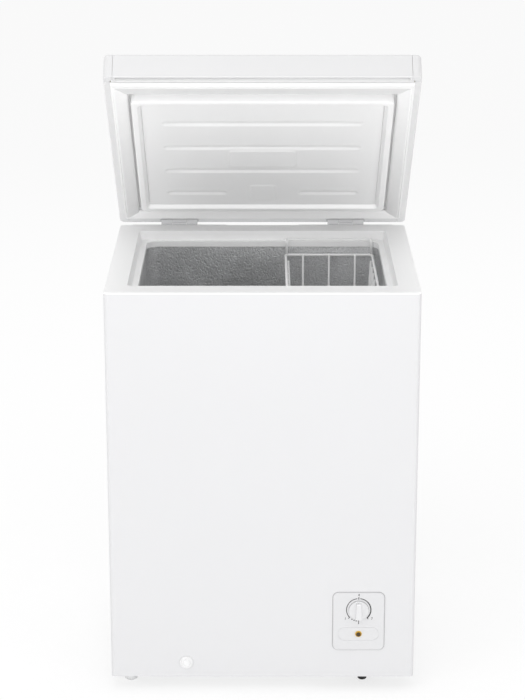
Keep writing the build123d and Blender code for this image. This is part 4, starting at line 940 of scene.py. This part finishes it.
def screw_boxes(node, place):
    """The box of each separate screw in a node, measured in another frame of directions."""
    mesh = NODES[node].data
    parent = list(range(len(mesh.vertices)))

    def root(i):
        while parent[i] != i:
            parent[i] = parent[parent[i]]
            i = parent[i]
        return i

    same = {}
    for vertex in mesh.vertices:
        key = tuple(round(value / (0.01 * MM)) for value in vertex.co)
        parent[root(vertex.index)] = root(same.setdefault(key, vertex.index))
    for edge in mesh.edges:
        parent[root(edge.vertices[0])] = root(edge.vertices[1])
    screws = {}
    for index, point in enumerate(node_points(node, place)):
        screws.setdefault(root(index), []).append(point)
    boxes = [corners_of(points) for points in screws.values()]
    return sorted(boxes, key=lambda box: tuple(round(value, 4) for value in box[0]))


class FREEZER_OT_screws(bpy.types.Operator):
    """Sets the screws of the hinges and the rear grille, and the plates behind the hinges"""

    bl_idname = "freezer.screws"
    bl_label = "Screws"

    def execute(self, context):
        finish = zinc("bright_zinc", (0.74, 0.74, 0.72))
        height, turn_step = 1.8 * MM, 0.37
        upright, back, under = Matrix.Identity(4), Vector((0, 1, 0)), Vector((0, 0, -1))
        groups = [
            ("hinge_screw_heads", "hinge_screws", upright, back, "cabinet"),
            ("grille_screw_heads", "grille_screws", upright, back, "cabinet"),
            ("leaf_screw_heads", "leaf_screws", LID, under, "lid"),
        ]
        for name, node, place, outward, body in groups:
            heads = []
            for index, (low, high) in enumerate(screw_boxes(node, place)):
                radius, reach = (high.x - low.x) / 2, (high - low) / 2
                top = (low + high) / 2 + Vector([outward[i] * reach[i] for i in range(3)])
                centre = place @ (top - outward * height)
                heads.append(screw_head(centre, place.to_3x3() @ outward, radius, height, turn_step * index))
            points, faces = joined(heads)
            add_piece(name, points, faces, SLOTS[node], body, [node], finish)
        points, faces = joined([hinge_web(node) for node in ("hinge_leaf_left", "hinge_leaf_right")])
        add_piece("hinge_webs", points, faces, "white_steel", "cabinet")
        return {"FINISHED"}


def hinge_web(node):
    """The plate behind a hinge, against the back of the collar."""
    low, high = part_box(node)
    middle, rear = (low.x + high.x) / 2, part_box("top_frame")[1]
    half, above, below = 13.8 * MM, 3.6 * MM, 9 * MM
    first = Vector((middle - half, rear.y + 0.4 * MM, rear.z - below))
    last = Vector((middle + half, rear.y + 3.6 * MM, rear.z + above))
    return rounded_plate(first, last, 2 * MM, 0.5 * MM)


# -------------------- dial print, and the painted shadow in the panel's gaps
def flat_strip(path, widths, middle, face, ink):
    """A thin strip along a path in the panel's plane, with a width at each point: the print, and the painted
    shadow in the gaps.
    """
    points, faces = [], []
    for i, (x, z) in enumerate(path):
        before, after = path[max(0, i - 1)], path[min(len(path) - 1, i + 1)]
        along = Vector((after[0] - before[0], after[1] - before[1])).normalized()
        side = Vector((-along.y, along.x)) * widths[i] / 2
        for sign in (1, -1):
            for depth in (face, face - ink):
                points.append((middle[0] + x + side.x * sign, depth, middle[1] + z + side.y * sign))
    for i in range(len(path) - 1):
        a, b = i * 4, i * 4 + 4
        faces += [(a + 1, a + 3, b + 3, b + 1), (a, b, b + 2, a + 2)]
        faces += [(a, a + 1, b + 1, b), (a + 2, b + 2, b + 3, a + 3)]
    last = len(path) * 4 - 4
    faces += [(0, 2, 3, 1), (last, last + 1, last + 3, last + 2)]
    return points, faces


def digit_mesh(text, size, middle, face, ink):
    """A plain number in the panel's plane, as points and faces."""
    curve = bpy.data.curves.new("digit_outline", "FONT")
    curve.body, curve.size, curve.extrude = text, size, ink / 2
    curve.align_x, curve.align_y = "CENTER", "CENTER"
    outline = bpy.data.objects.new("digit_outline", curve)
    bpy.context.scene.collection.objects.link(outline)
    bpy.context.view_layer.update()
    solid = outline.evaluated_get(bpy.context.evaluated_depsgraph_get())
    mesh = bpy.data.meshes.new_from_object(solid)
    points = [(middle[0] + v.co.x, face - ink / 2 - v.co.z, middle[1] + v.co.y) for v in mesh.vertices]
    faces = [tuple(polygon.vertices) for polygon in mesh.polygons]
    bpy.data.objects.remove(outline)
    bpy.data.curves.remove(curve)
    bpy.data.meshes.remove(mesh)
    return points, faces


def scale_print(sizes, middle, face):
    """The scale round the knob: its arc, marks, dots, pointer and numbers."""
    parts = []

    def place(turn, radius):
        return sin(radians(turn)) * radius, cos(radians(turn)) * radius

    def strip(path, *widths):
        parts.append(flat_strip(path, widths * (len(path) // len(widths)), middle, face, sizes.ink))

    mild, cold, gap = -132, 136, 7  # the scale's ends and the gap on each side of its top mark, in degrees
    for first, last in ((mild, -gap), (gap, cold)):
        turns = [first + (last - first) * i / 40 for i in range(41)]
        shares = [smoothstep(-20, 120, turn) for turn in turns]
        widths = [sizes.thin + (sizes.thick - sizes.thin) * share for share in shares]
        strip([place(turn, sizes.radius) for turn in turns], *widths)
    for turn, inner, outer, width in ((0, 21.0, 26.0, 1.6), (mild, 22, 26.5, 1.2), (cold, 22, 26.5, 1.2)):
        strip([place(turn, radius * MM) for radius in (inner, outer)], width * MM)
    for turn in (180, 191, 202, 213):
        x, z = place(turn, sizes.radius)
        strip([(x - 1.1 * MM, z), (x + 1.1 * MM, z)], 2.2 * MM)
    strip([(0, -25 * MM), (0, -29 * MM)], 1.5 * MM)
    for text, turn, radius in (("1", -126, 31), ("4", 0, 30), ("7", 126, 31)):
        x, z = place(turn, radius * MM)
        parts.append(digit_mesh(text, sizes.digit, (middle[0] + x, middle[1] + z), face, sizes.ink))
    return joined(parts)


def gap_shadow_lines(sizes, knob, bezel):
    """Painted shadow in the gaps round the knob and round the bezel, each as a closed dark line laid on the panel
    like print.
    """
    reach = (knob[1].x - knob[0].x) / 2 + 0.35 * MM
    points = circle(Vector((0, 0)), Vector((reach, 0)), Vector((0, reach)), 72)
    ring = [(point.x, point.y) for point in points]
    half = (bezel[1] - bezel[0]) / 2
    edge = rounded_outline(half.x + 0.5 * MM, half.z + 0.5 * MM, 11 * MM)
    lines = []
    for path, width, (low, high), face in (
        (ring, 0.9 * MM, knob, bezel[0].y),
        (edge, 1.4 * MM, bezel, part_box("outer_wrap")[0].y),
    ):
        middle = (low + high) / 2
        path.append(path[0])
        lines.append(flat_strip(path, [width] * len(path), (middle.x, middle.z), face, sizes.ink))
    return joined(lines)


class FREEZER_OT_dial(bpy.types.Operator):
    """Prints the scale, its marks and its numbers round the knob, and paints the shadow in the gaps round the knob
    and the bezel
    """

    bl_idname = "freezer.dial"
    bl_label = "Dial print"

    def execute(self, context):
        sizes, colours = context.scene.freezer_dial, context.scene.freezer_colours
        knob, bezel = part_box("knob"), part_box("control_bezel")
        middle = (knob[0] + knob[1]) / 2
        points, faces = scale_print(sizes, (middle.x, middle.z), bezel[0].y)
        finish = ink("panel_ink", colours.ink)
        add_piece("dial_print", points, faces, "black_plastic", "cabinet", finish=finish, smooth=False)
        # grey lines of painted shadow where the knob and the bezel meet the panel
        points, faces = gap_shadow_lines(sizes, knob, bezel)
        grey = ink("gap_shadow_grey", (0.46, 0.46, 0.465))
        add_piece("panel_gap_shadows", points, faces, "black_plastic", "cabinet", finish=grey, smooth=False)
        return {"FINISHED"}


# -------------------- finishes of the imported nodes
class FREEZER_OT_finishes(bpy.types.Operator):
    """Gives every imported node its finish"""

    bl_idname = "freezer.finishes"
    bl_label = "Finishes"

    def execute(self, context):
        colours = context.scene.freezer_colours
        FINISHES.update(make_finishes(colours))
        # own copies of the trim plastic: the collar's lighter colour is painted light, the bezel's and the lid
        # front's darker colours are painted shade
        own = {"top_frame": white_plastic("collar_moulding", colours.collar)}
        own["control_bezel"] = white_plastic("bezel_moulding", colours.bezel)
        lid_front = white_plastic("lid_front_moulding", colours.front)
        own |= dict.fromkeys(("lid_front_trim", "lid_front_cap_left", "lid_front_cap_right"), lid_front)
        for name, node in NODES.items():
            node.data.materials.clear()
            node.data.materials.append(own.get(name) or FINISHES[SLOTS[name]])
        return {"FINISHED"}


# -------------------- stage
class FREEZER_OT_stage(bpy.types.Operator):
    """Sets the floor, the light and the camera"""

    bl_idname = "freezer.stage"
    bl_label = "Stage"

    def execute(self, context):
        sizes = context.scene.freezer_stage
        scene = context.scene
        scene.view_settings.view_transform = "Standard"
        self.floor(sizes)
        self.surround(scene, sizes)
        self.lamps()
        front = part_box("outer_wrap")[0].y
        data = bpy.data.cameras.new("camera")
        data.lens = sizes.lens
        data.sensor_width = 36.0
        data.clip_end = 100.0
        camera = bpy.data.objects.new("camera", data)
        camera.location = (0.0, front - sizes.distance, sizes.height)
        camera.rotation_euler = (pi / 2 - sizes.pitch, 0.0, 0.0)
        scene.collection.objects.link(camera)
        scene.camera = camera
        return {"FINISHED"}

    def floor(self, sizes):
        half = sizes.floor / 2
        mesh = bpy.data.meshes.new("floor")
        corners = [(-half, -half, 0), (half, -half, 0), (half, half, 0), (-half, half, 0)]
        mesh.from_pydata(corners, [], [(0, 1, 2, 3)])
        floor = bpy.data.objects.new("floor", mesh)
        bpy.context.scene.collection.objects.link(floor)
        f = Finish("pale_floor")
        matt = f.add("ShaderNodeBsdfDiffuse", None, {"Color": (0.88, 0.88, 0.88, 1.0)})
        soft = f.add("ShaderNodeBsdfDiffuse", None, {"Color": (0.3, 0.3, 0.3, 1.0)})
        glow = f.add("ShaderNodeEmission", None, {"Color": (1.0, 1.0, 1.0, 1.0), "Strength": 0.72})
        both = f.add("ShaderNodeAddShader", None, {0: soft, 1: glow})
        mix = f.add("ShaderNodeMixShader", None, {0: f.seen(), 1: matt, 2: both})
        f.add("ShaderNodeOutputMaterial", None, {"Surface": mix})
        mesh.materials.append(f.material)

    def surround(self, scene, sizes):
        world = bpy.data.worlds.new("surround")
        scene.world = world
        world.use_nodes = True
        f = Nodes(world.node_tree)
        clear = (1.0, 1.0, 1.0, 1.0)
        light = f.add("ShaderNodeBackground", None, {"Color": clear, "Strength": sizes.sky})
        white = f.add("ShaderNodeBackground", None, {"Color": clear, "Strength": 1.0})
        mix = f.add("ShaderNodeMixShader", None, {0: f.seen(), 1: light, 2: white})
        f.add("ShaderNodeOutputWorld", None, {"Surface": mix})

    def lamps(self):
        # each lamp's name, place, target, width in metres and power in watts
        lamps = [
            ("key", (-1.2, -1.6, 3.2), (0, 0, 0.8), 2.4, 15.0),
            ("front", (0.2, -4.6, 0.75), (0, 0, 0.8), 1.5, 38.0),
            ("front_left", (-2.9, -2.9, 0.9), (0, 0, 0.8), 1.5, 20.0),
            ("front_right", (2.9, -2.9, 0.9), (0, 0, 0.8), 1.5, 20.0),
            ("back", (0.0, 2.6, 2.8), (0, 0, 0.6), 2.2, 10.0),
        ]
        for name, place, target, size, power in lamps:
            data = bpy.data.lights.new(name, "AREA")
            data.shape, data.size, data.energy = "DISK", size, power
            lamp = bpy.data.objects.new(name, data)
            lamp.location = place
            aim = Vector(target) - Vector(place)
            lamp.rotation_euler = aim.to_track_quat("-Z", "Y").to_euler()
            bpy.context.scene.collection.objects.link(lamp)


# -------------------- panel and registration
OPERATORS = (
    FREEZER_OT_finishes,
    FREEZER_OT_basket,
    FREEZER_OT_seal,
    FREEZER_OT_liner,
    FREEZER_OT_screws,
    FREEZER_OT_dial,
    FREEZER_OT_stage,
)


class FREEZER_PT_panel(bpy.types.Panel):
    """The freezer's pieces in the order in which they are made"""

    bl_label = "Freezer"
    bl_idname = "FREEZER_PT_panel"
    bl_space_type = "VIEW_3D"
    bl_region_type = "UI"
    bl_category = "Freezer"

    def draw(self, context):
        for operator in OPERATORS:
            self.layout.operator(operator.bl_idname)
        for name, group in GROUPS.items():
            box = self.layout.box()
            for field in group.__annotations__:
                box.prop(getattr(context.scene, name), field)


def register():
    for name, group in GROUPS.items():
        bpy.utils.register_class(group)
        setattr(bpy.types.Scene, name, PointerProperty(type=group))
    for kind in (*OPERATORS, FREEZER_PT_panel):
        bpy.utils.register_class(kind)


def unregister():
    for kind in (FREEZER_PT_panel, *reversed(OPERATORS)):
        bpy.utils.unregister_class(kind)
    for name, group in GROUPS.items():
        delattr(bpy.types.Scene, name)
        bpy.utils.unregister_class(group)


def main():
    register()
    bpy.ops.freezer.finishes()
    bpy.ops.freezer.basket()
    bpy.ops.freezer.seal()
    bpy.ops.freezer.liner()
    bpy.ops.freezer.screws()
    bpy.ops.freezer.dial()
    bpy.ops.freezer.stage()


if __name__ == "__main__":
    main()
